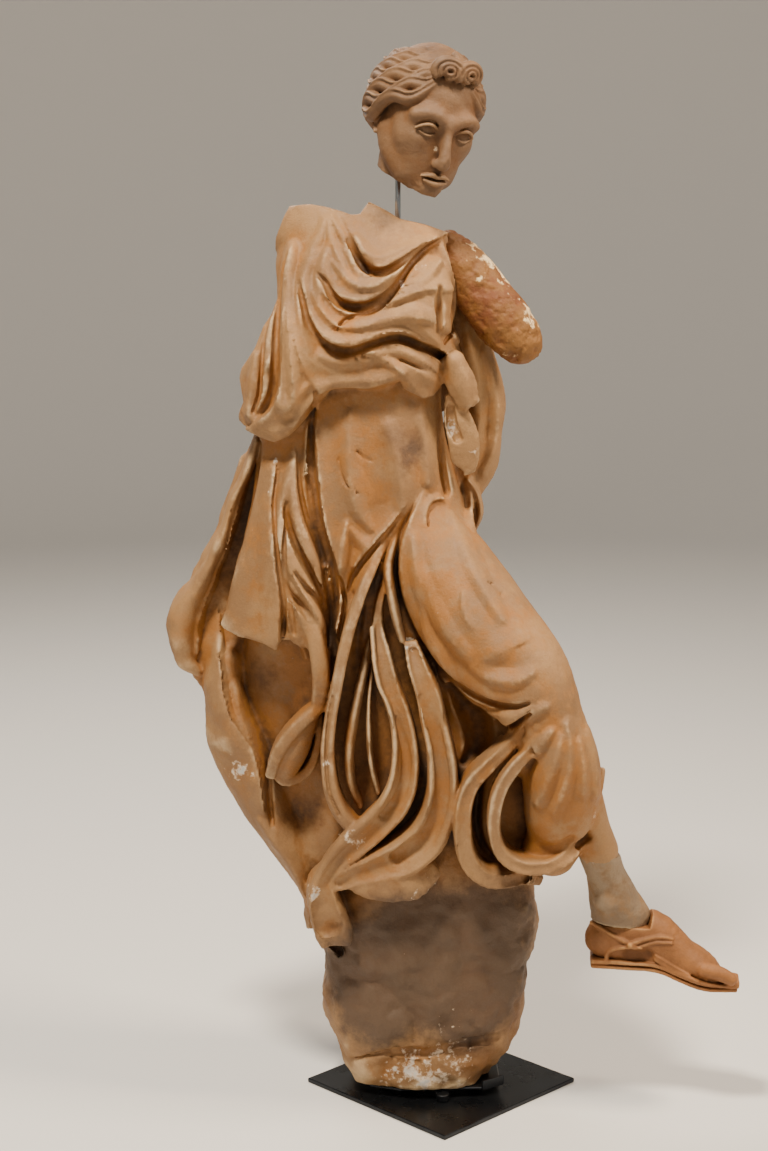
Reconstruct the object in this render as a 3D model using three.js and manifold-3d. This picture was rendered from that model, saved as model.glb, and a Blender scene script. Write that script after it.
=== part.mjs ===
// A life-size marble statue of a draped woman, broken in antiquity and put together again.
// The marble is in five pieces: body, upper arm, ankle, sandalled foot and head. It stands
// in a steel cradle on a square steel plate that is turned corner-on.
// Millimetres, +Z up, the front looks along -Y. The origin is the middle of the plate's
// underside, and the heights in the tables are measured from the plate's top.

import * as THREE from 'three';
import { mergeVertices } from 'three/addons/utils/BufferGeometryUtils.js';
import Module from 'manifold-3d';

const wasm = await Module();
wasm.setup();

// Driving dimensions of the steelwork
const plateSide = 320;
const plateThickness = 8;
const postRadius = 11;
const postHeight = 12;
const postCircle = 62;
const postCircleY = -30;
const trayThickness = 4;
const trayRim = 16;
const rodRadius = 4.5;
const rodFoot = 1380;
const rodTop = 1560;
const rodX = -75;
const rodY = 8;
const gap = 0.5; // clearance between pieces that touch
const reach = 260; // deeper than the statue, front and back

// Facets of the carving
const bodySides = 13;
const foldSides = 5;
const bandSides = 8;
const breastSides = 8;
const thighSides = 12;
const weldSize = 0.2; // edges shorter than this are welded when solids are joined

// Masses of the body. Each station is [x, y, z, half width, half depth].
const masses = {
  torso: [
    [-118, 5, 1452, 92, 42], [-121, 2, 1432, 132, 66], [-126, 0, 1385, 134, 86],
    [-126, 0, 1320, 134, 96], [-124, 0, 1250, 122, 92], [-119, 0, 1180, 114, 90],
    [-115, 0, 1090, 112, 94], [-110, 0, 1010, 122, 96], [-100, 5, 930, 140, 92],
  ],
  shoulders: [
    [-246, 12, 1420, 38, 40], [-208, 8, 1411, 50, 56], [-110, 6, 1408, 50, 64],
    [-25, 4, 1385, 42, 56], [14, 2, 1372, 26, 42],
  ],
  skirt: [
    [-116, 5, 1100, 112, 86], [-120, 10, 1000, 142, 90], [-122, 14, 900, 168, 94],
    [-128, 18, 800, 186, 94], [-138, 22, 700, 190, 92], [-122, 22, 600, 186, 90],
    [-88, 20, 500, 176, 92], [-55, 18, 400, 168, 96], [-38, 12, 310, 176, 98],
  ],
  thigh: [
    [-55, -8, 955, 70, 80], [5, -50, 880, 78, 86], [68, -100, 800, 78, 82],
    [125, -138, 742, 67, 70], [155, -152, 700, 52, 58],
  ],
  shin: [
    [152, -150, 715, 44, 52], [166, -152, 640, 60, 60], [182, -148, 575, 62, 62],
    [184, -142, 515, 58, 58], [181, -135, 470, 48, 42], [169, -128, 438, 44, 38],
  ],
  farThigh: [
    [-214, -6, 1120, 66, 60], [-222, -10, 1060, 78, 68], [-238, -20, 980, 82, 72],
    [-256, -30, 900, 84, 72], [-270, -36, 830, 88, 66], [-278, -40, 745, 90, 60],
  ],
  rock: [
    [-40, -4, 17, 62, 56], [-25, -4, 40, 98, 74], [-27, -4, 62, 120, 84],
    [-33, -4, 105, 144, 96], [-28, -2, 150, 165, 102], [-28, 0, 176, 171, 102],
    [-42, 0, 215, 159, 102], [-37, 0, 245, 166, 104], [-29, 2, 295, 182, 102],
    [-30, 6, 350, 186, 100], [-45, 12, 400, 186, 96], [-85, 18, 470, 190, 88],
  ],
  nearBreast: [
    [-36, -58, 1385, 20, 12], [-38, -66, 1350, 44, 32], [-38, -68, 1315, 46, 38],
    [-40, -62, 1278, 28, 20],
  ],
  farBreast: [
    [-178, -56, 1385, 24, 12], [-180, -62, 1350, 46, 28], [-180, -64, 1315, 46, 32],
    [-178, -60, 1280, 30, 18],
  ],
  lowerLeft: [
    [-352, 16, 720, 24, 30], [-358, 12, 670, 34, 44], [-345, 8, 610, 46, 56],
    [-318, 4, 545, 48, 62], [-286, 2, 478, 42, 64], [-248, 2, 408, 34, 62],
    [-222, 0, 340, 18, 56], [-222, -4, 272, 8, 24],
  ],
  flyingWeb: [
    [-290, 44, 1078, 22, 22], [-306, 46, 990, 34, 24], [-326, 48, 905, 46, 26],
    [-354, 48, 820, 70, 26], [-362, 44, 750, 76, 26], [-342, 38, 690, 56, 28],
  ],
  backCloth: [
    [22, 40, 1275, 38, 28], [42, 48, 1200, 46, 28], [52, 52, 1150, 50, 30],
    [46, 52, 1100, 46, 26], [46, 50, 1055, 48, 30], [22, 46, 1005, 46, 28],
    [18, 40, 960, 46, 30], [8, 32, 915, 32, 24],
  ],
  kneeCloth: [
    [-20, -34, 800, 56, 46], [36, -56, 728, 60, 46], [58, -56, 650, 62, 40],
    [70, -56, 570, 70, 44], [98, -64, 500, 88, 54], [104, -60, 446, 78, 50],
  ],
};
const squareness = {
  rock: 2.7, skirt: 2.3, torso: 2.2, mantle: 2.2, backCloth: 2.8, flyingWeb: 3,
};

// The overfold of the dress hangs round the torso down to a hem, and the cloth over the
// far thigh ends at a break. Each line is [x, z].
const mantle = [
  [-128, 2, 1412, 118, 62], [-130, 0, 1370, 138, 90], [-130, 0, 1320, 140, 104],
  [-138, 0, 1262, 146, 108], [-152, 0, 1205, 168, 112], [-158, 2, 1145, 174, 112],
  [-158, 6, 1080, 176, 108],
];
const hemFront = [
  [-360, 1126], [-310, 1116], [-270, 1098], [-238, 1118], [-218, 1142], [-195, 1168],
  [-175, 1182], [-122, 1185], [-72, 1194], [-66, 1178], [-36, 1164], [-8, 1174],
  [8, 1200], [70, 1206],
];
const hemBack = [[-360, 1120], [-240, 1100], [-100, 1118], [70, 1150]];
const sideSeam = 20; // the front and the back hem meet at this y
const mantleFloor = 900;
const thighBreak = [
  [-460, 815], [-362, 800], [-335, 786], [-290, 776], [-232, 770], [-150, 762],
];
const thighFloor = 600;

// Folds that lie on the masses. Each station is [x, z, half width, half height], and the
// fold's middle runs along the skin of the masses.
const folds = {
  neckRoll: [[-150, 1422, 6, 8], [-130, 1396, 9, 13], [-106, 1376, 10, 14],
    [-78, 1380, 9, 13], [-40, 1404, 8, 10], [0, 1414, 5, 7]],
  collarRoll: [[-190, 1352, 8, 10], [-165, 1326, 11, 15], [-135, 1319, 12, 17],
    [-105, 1331, 10, 15], [-70, 1360, 9, 13], [-35, 1390, 8, 10], [0, 1408, 5, 7]],
  breastSwag: [[-222, 1335, 8, 11], [-206, 1290, 10, 14], [-178, 1260, 11, 16],
    [-150, 1254, 11, 15], [-110, 1264, 9, 12], [-70, 1272, 8, 11], [-36, 1262, 9, 12],
    [-6, 1244, 9, 12], [20, 1214, 9, 12], [36, 1182, 7, 9]],
  underSwag: [[-240, 1340, 8, 11], [-229, 1282, 10, 14], [-209, 1234, 11, 15],
    [-186, 1213, 10, 12], [-145, 1206, 5, 7]],
  thighCentre: [[-235, 1070, 6, 8], [-229, 1005, 9, 12], [-212, 950, 10, 13],
    [-197, 905, 9, 11], [-192, 870, 6, 7]],
  thighLong: [[-250, 1005, 6, 8], [-244, 925, 10, 13], [-226, 872, 11, 15],
    [-200, 832, 12, 17], [-186, 780, 12, 20], [-184, 730, 10, 18], [-186, 675, 7, 14]],
  bellyEdge: [[-196, 1170, 7, 9], [-205, 1100, 9, 12], [-197, 1020, 10, 14],
    [-184, 940, 11, 15], [-166, 885, 11, 15], [-164, 840, 11, 15], [-176, 790, 9, 12]],
  thighOuter: [[-280, 1020, 6, 8], [-282, 940, 9, 12], [-264, 860, 10, 13], [-240, 792, 8, 11]],
  groinUpper: [[-72, 985, 6, 8], [-115, 935, 9, 12], [-150, 880, 10, 14], [-162, 820, 9, 13]],
  groinLower: [[-66, 975, 6, 8], [-84, 930, 8, 12], [-82, 860, 9, 14], [-70, 790, 8, 12],
    [-60, 740, 6, 9]],
  thighHem: [[-46, 975, 6, 8], [-66, 920, 9, 12], [-62, 862, 9, 13], [-44, 812, 9, 13],
    [-22, 775, 9, 13], [8, 738, 9, 12], [48, 708, 9, 12], [100, 698, 8, 10]],
  thighSwag: [[-8, 722, 7, 10], [28, 690, 9, 13], [66, 664, 10, 15], [100, 668, 10, 13],
    [136, 692, 7, 9]],
};

// Edges of cloth that stand free of the skin. Each station is [x, y, z, half width, half depth].
const crests = {
  flyingRidge: [[-305, 18, 1088, 10, 24], [-326, 18, 1020, 11, 32], [-351, 18, 950, 13, 36],
    [-385, 20, 872, 17, 38], [-414, 22, 815, 26, 38], [-428, 22, 768, 27, 34],
    [-426, 24, 718, 18, 26], [-412, 24, 696, 10, 16]],
  sideOuter: [[-298, 0, 1245, 12, 30], [-306, 0, 1190, 16, 36], [-312, 2, 1135, 16, 34]],
  recessRim: [[-372, -12, 752, 8, 20], [-366, -14, 712, 9, 24], [-352, -16, 652, 9, 26],
    [-330, -24, 600, 10, 26], [-306, -36, 552, 10, 26], [-286, -46, 520, 8, 20]],
  curl: [[-196, -78, 668, 12, 30], [-226, -82, 652, 15, 34], [-258, -80, 616, 16, 36],
    [-272, -72, 574, 14, 34], [-280, -56, 520, 12, 30], [-272, -44, 450, 10, 24],
    [-240, -40, 380, 8, 20]],
  shinHem: [[252, -128, 580, 7, 18], [240, -142, 545, 9, 24], [218, -146, 524, 10, 24]],
  hemTip: [[8, -78, 1216, 14, 20], [12, -74, 1160, 14, 22], [10, -68, 1112, 9, 14]],
  hemCorner: [[24, -52, 1212, 14, 24], [34, -46, 1150, 16, 26], [36, -42, 1090, 14, 24],
    [38, -40, 1044, 9, 14]],
  neckStump: [[-120, -14, 1448, 16, 20], [-72, 6, 1436, 26, 34], [-36, 6, 1416, 22, 34]],
  brokenBlock: [[-140, -104, 378, 18, 34], [-70, -108, 372, 22, 34], [-30, -104, 392, 16, 28]],
};

// Ribbons of cloth that stand on edge, with a flat face to the front.
const bands = {
  ribbon: [[-52, -106, 770, 11, 22], [-42, -112, 738, 16, 34], [-26, -116, 695, 20, 40],
    [-8, -116, 612, 22, 44], [-5, -116, 535, 25, 44], [-15, -116, 495, 27, 44],
    [-34, -116, 460, 31, 42], [-66, -118, 434, 31, 38], [-105, -118, 418, 24, 34],
    [-145, -116, 402, 18, 30]],
  loopRight: [[-108, -80, 800, 9, 20], [-98, -90, 750, 14, 32], [-73, -100, 665, 18, 38],
    [-61, -104, 580, 20, 40], [-68, -106, 540, 21, 40], [-85, -108, 508, 22, 38],
    [-112, -112, 480, 22, 36], [-142, -114, 452, 20, 34], [-172, -112, 425, 17, 32],
    [-192, -108, 395, 14, 30], [-201, -104, 350, 12, 28], [-200, -94, 275, 9, 16]],
  loopLeft: [[-88, -74, 955, 6, 18], [-112, -84, 905, 8, 26], [-149, -100, 810, 9, 36],
    [-171, -108, 715, 9, 36], [-184, -110, 655, 10, 38], [-188, -110, 600, 10, 38],
    [-182, -110, 545, 11, 38], [-167, -112, 505, 11, 36]],
  calfBand: [[128, -176, 664, 8, 16], [98, -158, 625, 10, 26], [42, -136, 560, 13, 38],
    [30, -132, 525, 14, 40], [28, -130, 490, 15, 40], [31, -130, 455, 15, 40],
    [43, -130, 424, 15, 38], [66, -128, 403, 14, 36], [96, -126, 399, 14, 34],
    [140, -114, 398, 12, 26]],
  bellRim: [[140, -190, 632, 8, 14], [108, -184, 598, 10, 22], [84, -174, 555, 10, 32],
    [77, -168, 510, 10, 36], [80, -164, 470, 11, 36], [100, -164, 442, 12, 36],
    [145, -164, 431, 12, 34], [178, -162, 438, 12, 30], [203, -156, 458, 11, 24],
    [218, -148, 484, 9, 18]],
};

// Limbs in the round
const armLine = [
  [6, -6, 1398, 26, 34], [30, -10, 1360, 43, 46], [62, -14, 1318, 45, 47],
  [96, -18, 1276, 46, 46], [118, -20, 1248, 38, 38], [128, -21, 1236, 20, 22],
];
const legLine = [
  [196, -136, 590, 40, 42], [216, -128, 530, 36, 40], [234, -118, 475, 33, 38],
  [248, -110, 438, 33, 37], [262, -100, 396, 32, 36], [276, -90, 352, 40, 38],
  [290, -82, 312, 50, 36],
];
const legBreaks = { calf: [0, 0.5], ankle: [0.502, 1] };
const legSides = 10;
const roundSides = 12;
const armSides = 10;
const footLine = [
  [246, -78, 272, 26, 22], [260, -79, 279, 44, 30], [298, -82, 283, 46, 34],
  [343, -86, 281, 44, 36], [382, -91, 260, 36, 38], [417, -96, 240, 27, 42],
  [449, -101, 226, 19, 40], [475, -105, 219, 9, 26],
];
const soleLine = [
  [252, -79, 240, 6, 26], [298, -82, 241, 6, 33], [348, -87, 239, 6, 36],
  [387, -92, 225, 6, 41], [427, -98, 215, 6, 44], [479, -105, 210, 6, 30],
];
const strapLines = [
  [[250, 312], [270, 305], [302, 297], [343, 306], [370, 296]],
  [[302, 297], [340, 280], [372, 258], [402, 238]],
  [[262, 256], [266, 276], [284, 290], [304, 295]],
];
const strapRadius = 4;

// The head, in its own frame: the face looks along -Y, the middle of the skull is at 0.
const headPlace = { x: -36, y: -22, z: 1598, lean: 14, turn: 26, bow: 8 };
const skullHalf = [78, 98, 98];
const neckBreak = { z: -102, slant: 6 };
const faceLength = 176; // hairline to chin
const eyeLine = -8;
const noseLength = faceLength * 0.3;
const mouthLine = eyeLine - faceLength * 0.4;
const chinLine = eyeLine - faceLength * 0.56;
const lockCount = 4;

function closed(geometry) {
  const merged = geometry.clone();
  merged.deleteAttribute('normal');
  merged.deleteAttribute('uv');
  return mergeVertices(merged, 1e-4);
}

function solid(geometry) {
  const merged = closed(geometry);
  return new wasm.Manifold(new wasm.Mesh({
    numProp: 3,
    vertProperties: new Float32Array(merged.attributes.position.array),
    triVerts: new Uint32Array(merged.index.array),
    tolerance: weldSize,
  }));
}

function joined(parts) {
  return parts.reduce((whole, part) => whole.add(part));
}

// The one piece that holds the most marble, with the voids between folds filled.
function heaviest(body) {
  const pieces = body.decompose();
  return pieces.reduce((best, piece) => (piece.volume() > best.volume() ? piece : best));
}

function geometryOf(body) {
  const mesh = body.getMesh();
  const geometry = new THREE.BufferGeometry();
  geometry.setAttribute('position', new THREE.BufferAttribute(mesh.vertProperties, 3));
  geometry.setIndex(new THREE.BufferAttribute(mesh.triVerts, 1));
  geometry.computeVertexNormals();
  return geometry;
}

// A smooth line through stations, with a half width and half depth at every point of it.
function lineThrough(stations) {
  const path = new THREE.CatmullRomCurve3(
    stations.map(([x, y, z]) => new THREE.Vector3(x, y, z)), false, 'catmullrom', 0.5);
  const girth = new THREE.CatmullRomCurve3(
    stations.map(([, , , w, d]) => new THREE.Vector3(w, d, 0)), false, 'catmullrom', 0.5);
  return { path, girth, spans: stations.length - 1 };
}

// Where the line is at u, and the two directions its section lies in: across and forward.
function sectionAt(line, u) {
  const centre = line.path.getPoint(u);
  const along = line.path.getTangent(u);
  const forward = new THREE.Vector3(0, -1, 0);
  forward.addScaledVector(along, -along.dot(forward)).normalize();
  const across = new THREE.Vector3().crossVectors(along, forward);
  const size = line.girth.getPoint(u);
  return { centre, along, across, forward, width: size.x, depth: size.y };
}

// A point of a superellipse: power 2 is an ellipse, 1.3 a sharp crest, 4 a flat ribbon.
function superellipse(angle, power) {
  const round = (value) => Math.sign(value) * Math.abs(value) ** (2 / power);
  return [round(Math.cos(angle)), round(Math.sin(angle))];
}

// A closed solid swept along the stations.
function limb(stations, { sides, power = 2, perSpan = 2, from = 0, to = 1, grow = 0 }) {
  const line = lineThrough(stations);
  const steps = Math.max(2, Math.round(line.spans * perSpan * (to - from)));
  const positions = [];
  const indices = [];
  for (let i = 0; i <= steps; i += 1) {
    const s = sectionAt(line, from + ((to - from) * i) / steps);
    if (i === 0) s.centre.addScaledVector(s.along, -grow);
    if (i === steps) s.centre.addScaledVector(s.along, grow);
    for (let k = 0; k < sides; k += 1) {
      const [a, b] = superellipse((2 * Math.PI * (k + 0.5)) / sides, power);
      const point = s.centre.clone()
        .addScaledVector(s.across, a * (s.width + grow))
        .addScaledVector(s.forward, b * (s.depth + grow));
      positions.push(point.x, point.y, point.z);
    }
  }
  for (let i = 0; i < steps; i += 1) {
    for (let k = 0; k < sides; k += 1) {
      const a = i * sides + k;
      const b = i * sides + ((k + 1) % sides);
      indices.push(a, a + sides, b, b, a + sides, b + sides);
    }
  }
  const last = steps * sides;
  for (let k = 1; k < sides - 1; k += 1) {
    indices.push(0, k, k + 1, last, last + k + 1, last + k);
  }
  const geometry = new THREE.BufferGeometry();
  geometry.setAttribute('position', new THREE.Float32BufferAttribute(positions, 3));
  geometry.setIndex(indices);
  return geometry;
}

// A block that fills everything below a front-view line, between two depths.
function blockBelow(line, floor, front, back) {
  const shape = new THREE.Shape(line.map(([x, z]) => new THREE.Vector2(x, z)));
  shape.lineTo(line.at(-1)[0], floor);
  shape.lineTo(line[0][0], floor);
  const block = new THREE.ExtrudeGeometry(shape, { depth: back - front, bevelEnabled: false });
  return block.rotateX(Math.PI / 2).translate(0, back, 0);
}

// Sections close together along a line, to find where its skin is.
function sampled(stations, power = 2) {
  const line = lineThrough(stations);
  const count = line.spans * 8;
  const slab = (line.path.getLength() / count) * 0.75;
  const sections = Array.from({ length: count + 1 }, (_, i) => sectionAt(line, i / count));
  return { sections, slab, power };
}

function holds({ sections, slab, power }, point) {
  return sections.some((s) => {
    const offset = point.clone().sub(s.centre);
    if (Math.abs(offset.dot(s.along)) > slab) return false;
    const a = Math.abs(offset.dot(s.across)) / s.width;
    const b = Math.abs(offset.dot(s.forward)) / s.depth;
    return a ** power + b ** power < 1;
  });
}

// The first y from the front at which one of the forms is met.
function skinDepth(forms, x, z) {
  const step = 3;
  for (let y = -reach; y < reach; y += step) {
    const point = new THREE.Vector3(x, y, z);
    if (forms.some((form) => form.present(x, z) && holds(form, point))) return y;
  }
  return 0;
}

function heightOf(line, x) {
  const next = Math.max(1, line.findIndex(([px]) => px > x));
  const [[x0, z0], [x1, z1]] = [line[next - 1], line[next]];
  return THREE.MathUtils.mapLinear(x, x0, x1, z0, z1);
}

const lowerEdges = { mantle: hemFront, farThigh: thighBreak };
const bodyForms = Object.entries({ ...masses, mantle }).map(([name, stations]) => {
  const edge = lowerEdges[name];
  const present = (x, z) => !edge || z > heightOf(edge, x);
  return { ...sampled(stations, squareness[name]), present };
});

function foldOnSkin(stations) {
  return stations.map(([x, z, w, h]) => [x, skinDepth(bodyForms, x, z), z, w, h]);
}

function makeBody() {
  const parts = Object.entries(masses)
    .filter(([name]) => name !== 'farThigh')
    .map(([name, stations]) => solid(limb(stations, {
      sides: name.endsWith('Breast') ? breastSides : bodySides,
      power: squareness[name],
      perSpan: 1,
    })));
  const hems = joined([
    solid(blockBelow(hemFront, mantleFloor, -reach, sideSeam)),
    solid(blockBelow(hemBack, mantleFloor, sideSeam, reach)),
  ]);
  const overfold = limb(mantle, { sides: bodySides, power: squareness.mantle, perSpan: 1 });
  parts.push(solid(overfold).subtract(hems));
  const broken = solid(blockBelow(thighBreak, thighFloor, -reach, reach));
  parts.push(solid(limb(masses.farThigh, { sides: thighSides, perSpan: 1 })).subtract(broken));
  for (const stations of Object.values(folds)) {
    parts.push(solid(limb(foldOnSkin(stations), { sides: foldSides, power: 1.4, perSpan: 1 })));
  }
  for (const stations of Object.values(crests)) {
    parts.push(solid(limb(stations, { sides: foldSides, power: 1.8, perSpan: 1 })));
  }
  for (const stations of Object.values(bands)) {
    parts.push(solid(limb(stations, { sides: bandSides, power: 4, perSpan: 1 })));
  }
  const [from, to] = legBreaks.calf;
  parts.push(solid(limb(legLine, { sides: legSides, from, to })));
  return heaviest(joined(parts));
}

function makeFoot() {
  const upper = solid(limb(footLine, { sides: 12, power: 2.2, perSpan: 1 }));
  const sole = solid(limb(soleLine, { sides: 8, power: 5, perSpan: 1 }));
  const footForm = { ...sampled(footLine, 2.2), present: () => true };
  const straps = strapLines.map((points) => {
    const stations = points.map(([x, z]) =>
      [x, skinDepth([footForm], x, z), z, strapRadius, strapRadius]);
    return solid(limb(stations, { sides: 4, perSpan: 1 }));
  });
  return joined([upper, sole, ...straps]);
}

function ball(x, y, z, rx, ry, rz, detail) {
  const geometry = new THREE.SphereGeometry(1, detail, Math.round(detail * 0.6));
  geometry.rotateX(Math.PI / 2).scale(rx, ry, rz).translate(x, y, z);
  return solid(geometry);
}

function makeHead() {
  const [rx, ry, rz] = skullHalf;
  const face = limb([
    [0, -18, 66, 44, 44], [0, -26, 30, 58, 56], [0, -30, eyeLine - 20, 60, 56],
    [0, -34, mouthLine, 46, 48], [0, -40, chinLine, 24, 34],
  ], { sides: 10, power: 2.2, perSpan: 1 });
  const neck = limb([[0, 10, -30, 50, 52], [0, 6, -70, 48, 50], [0, 4, -130, 48, 48]],
    { sides: 10, perSpan: 1 });
  const nose = limb([
    [0, -84, eyeLine + 8, 8, 10], [0, -94, eyeLine - noseLength * 0.6, 10, 12],
    [0, -96, eyeLine - noseLength, 14, 12],
  ], { sides: 6, perSpan: 1 });
  const parts = [ball(0, 0, 8, rx, ry, rz, 10), solid(face), solid(neck), solid(nose)];
  for (const side of [-1, 1]) {
    for (let i = 0; i < lockCount; i += 1) {
      const t = i / (lockCount - 1);
      const drop = 62 - 96 * t;
      const out = 28 + 36 * Math.sin(t * 2.2);
      parts.push(solid(limb([
        [side * out * 0.5, -78 + 50 * t, drop + 22, 12, 12],
        [side * out, -74 + 66 * t, drop, 16, 15],
        [side * (out + 8), -40 + 80 * t, drop - 16, 15, 14],
      ], { sides: 5, perSpan: 1 })));
    }
    parts.push(solid(limb([
      [0, -84, 66, 12, 10], [side * 22, -92, 74, 17, 15], [side * 40, -80, 60, 12, 12],
    ], { sides: 6, perSpan: 1 })));
  }
  const sockets = [-1, 1].map((side) => ball(side * 30, -88, eyeLine, 17, 10, 10, 7));
  const eyes = [-1, 1].map((side) => ball(side * 28, -72, eyeLine, 15, 12, 9, 7));
  const carved = sockets.reduce((whole, socket) => whole.subtract(socket), joined(parts));
  const whole = joined([carved, ...eyes]);
  // The neck is broken off on a slant under the jaw.
  const below = new THREE.BoxGeometry(reach, reach, reach).translate(0, 0, -reach / 2)
    .rotateY(THREE.MathUtils.degToRad(neckBreak.slant)).translate(0, 0, neckBreak.z);
  const { x, y, z, lean, turn, bow } = headPlace;
  const place = new THREE.Matrix4().makeRotationFromEuler(new THREE.Euler(
    THREE.MathUtils.degToRad(bow), THREE.MathUtils.degToRad(lean),
    THREE.MathUtils.degToRad(turn), 'YXZ'));
  place.setPosition(x, y, z);
  const placed = geometryOf(heaviest(whole.subtract(solid(below)))).applyMatrix4(place);
  return solid(placed);
}

function rod(radius, bottom, top, x = rodX, y = rodY) {
  return new THREE.CylinderGeometry(radius, radius, top - bottom, roundSides)
    .rotateX(Math.PI / 2).translate(x, y, (top + bottom) / 2);
}

// A tray under the rock with turned-up rims at the left and at the right front. The rock
// is cut to the same tray, made larger all round by the clearance.
function makeTray(grow = 0) {
  const bottom = postHeight + gap;
  const outline = new THREE.Shape([[-120, -66], [-70, -86], [70, -78], [98, -58], [96, 40],
    [40, 70], [-90, 66], [-126, 10]].map(([x, y]) => new THREE.Vector2(x, y)));
  const depth = trayThickness + grow;
  const floor = new THREE.ExtrudeGeometry(outline, { depth, bevelEnabled: false })
    .translate(0, 0, bottom);
  const rims = [[-122, -30, 60, 74], [84, -68, 44, 36]].map(([x, y, length, turn]) =>
    new THREE.BoxGeometry(length + 2 * grow, trayThickness + 2 * grow, trayRim + grow)
      .translate(0, 0, bottom + (trayRim + grow) / 2)
      .rotateZ(THREE.MathUtils.degToRad(turn)).translate(x, y, 0));
  return joined([floor, ...rims].map(solid));
}

const marble = { roughness: 0.75, metalness: 0 };
const finishes = {
  bodyMarble: new THREE.MeshStandardMaterial({ ...marble, color: 0xc89c70 }),
  armMarble: new THREE.MeshStandardMaterial({ ...marble, color: 0xa9713c }),
  ankleMarble: new THREE.MeshStandardMaterial({ ...marble, color: 0x9a8a72 }),
  footMarble: new THREE.MeshStandardMaterial({ ...marble, color: 0xae7440 }),
  headMarble: new THREE.MeshStandardMaterial({ ...marble, color: 0xae8459 }),
  darkSteel: new THREE.MeshStandardMaterial({ color: 0x24262a, roughness: 0.25, metalness: 0.8 }),
  brightSteel: new THREE.MeshStandardMaterial({ color: 0xb4b9bf, roughness: 0.3, metalness: 1 }),
};

const statue = new THREE.Group();
const standing = new THREE.Group();
standing.position.z = plateThickness + gap;
statue.add(standing);

function addPiece(parent, name, geometry, material) {
  const mesh = new THREE.Mesh(geometry, material);
  mesh.name = name;
  parent.add(mesh);
}

const plate = new THREE.BoxGeometry(plateSide, plateSide, plateThickness)
  .rotateZ(Math.PI / 4).translate(0, 0, plateThickness / 2);
addPiece(statue, 'base_plate', closed(plate), finishes.darkSteel);

for (let i = 0; i < 3; i += 1) {
  const angle = -Math.PI / 2 + (i * 2 * Math.PI) / 3;
  const post = rod(postRadius, 0, postHeight,
    postCircle * Math.cos(angle), postCircleY + postCircle * Math.sin(angle));
  addPiece(standing, `support_post_${i + 1}`, closed(post), finishes.darkSteel);
}

const tray = makeTray();
addPiece(standing, 'cradle_tray', geometryOf(tray), finishes.darkSteel);

const rodHole = solid(rod(rodRadius + gap, rodFoot - gap, rodTop + gap));
const [ankleFrom, ankleTo] = legBreaks.ankle;
const armPocket = solid(limb(armLine, { sides: armSides, grow: gap }));
const ankleSpan = { sides: legSides, from: ankleFrom, to: ankleTo };
const anklePocket = solid(limb(legLine, { ...ankleSpan, grow: gap }));
const underside = postHeight + gap;
const floor = new THREE.BoxGeometry(3 * reach, 2 * reach, 2 * underside);
const body = makeBody().subtract(armPocket).subtract(rodHole)
  .subtract(solid(floor)).subtract(makeTray(gap));

addPiece(standing, 'statue_body', geometryOf(heaviest(body)), finishes.bodyMarble);
addPiece(standing, 'left_arm', closed(limb(armLine, { sides: armSides })), finishes.armMarble);
addPiece(standing, 'left_ankle', closed(limb(legLine, ankleSpan)), finishes.ankleMarble);
addPiece(standing, 'left_foot', geometryOf(heaviest(makeFoot().subtract(anklePocket))),
  finishes.footMarble);
addPiece(standing, 'head_rod', closed(rod(rodRadius, rodFoot, rodTop)), finishes.brightSteel);
addPiece(standing, 'head', geometryOf(makeHead().subtract(rodHole)), finishes.headMarble);

export default statue;
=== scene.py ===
import bpy
import math
import time
import numpy as np
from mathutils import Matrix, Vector


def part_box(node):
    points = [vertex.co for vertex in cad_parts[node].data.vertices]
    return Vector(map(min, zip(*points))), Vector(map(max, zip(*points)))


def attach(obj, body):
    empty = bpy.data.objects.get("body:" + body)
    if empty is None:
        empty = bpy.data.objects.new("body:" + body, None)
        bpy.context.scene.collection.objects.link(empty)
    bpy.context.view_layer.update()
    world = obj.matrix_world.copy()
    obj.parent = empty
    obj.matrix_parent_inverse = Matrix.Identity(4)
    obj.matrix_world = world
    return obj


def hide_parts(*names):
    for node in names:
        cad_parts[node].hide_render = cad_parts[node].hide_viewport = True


# A broken marble statue of a draped woman on a steel mount. Each marble fragment is
# modelled like clay: masses, then folds, are blended in a grid of distances, and the
# skin of the clay becomes the mesh. Tables are in mm, heights from the plate's top.

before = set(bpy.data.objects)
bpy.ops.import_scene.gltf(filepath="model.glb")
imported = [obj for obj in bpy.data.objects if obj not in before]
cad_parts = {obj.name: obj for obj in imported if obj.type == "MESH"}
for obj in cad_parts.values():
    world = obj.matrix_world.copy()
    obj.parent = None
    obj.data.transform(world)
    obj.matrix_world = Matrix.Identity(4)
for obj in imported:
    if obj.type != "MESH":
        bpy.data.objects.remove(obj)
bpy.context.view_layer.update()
startTime = time.time()
mm = 0.001
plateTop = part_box("base_plate")[1][2] * 1000 + 0.5


def report(stage):
    print(f"{stage}: {time.time() - startTime:.1f} s")


# a smooth line through stations, whose first three numbers are a place
def smoothLine(stations, step):
    rows = np.array(stations, float)
    ends = np.vstack([2 * rows[0] - rows[1], rows, 2 * rows[-1] - rows[-2]])
    line = []
    for i in range(len(rows) - 1):
        a, b, c, d = ends[i:i + 4]
        count = max(2, math.ceil(np.linalg.norm((c - b)[:3]) / step))
        u = np.arange(count)[:, None] / count
        line.append(0.5 * (2 * b + (c - a) * u + (2 * a - 5 * b + 4 * c - d) * u ** 2
                           + (3 * b - a - 3 * c + d) * u ** 3))
    return np.vstack(line + [rows[-1:]])


def unit(vectors):
    return vectors / np.maximum(np.linalg.norm(vectors, axis=-1, keepdims=True), 1e-9)


def between(first, last, count):
    first, last = np.array(first, float), np.array(last, float)
    return [first + (last - first) * i / (count - 1) for i in range(count)]


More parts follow.
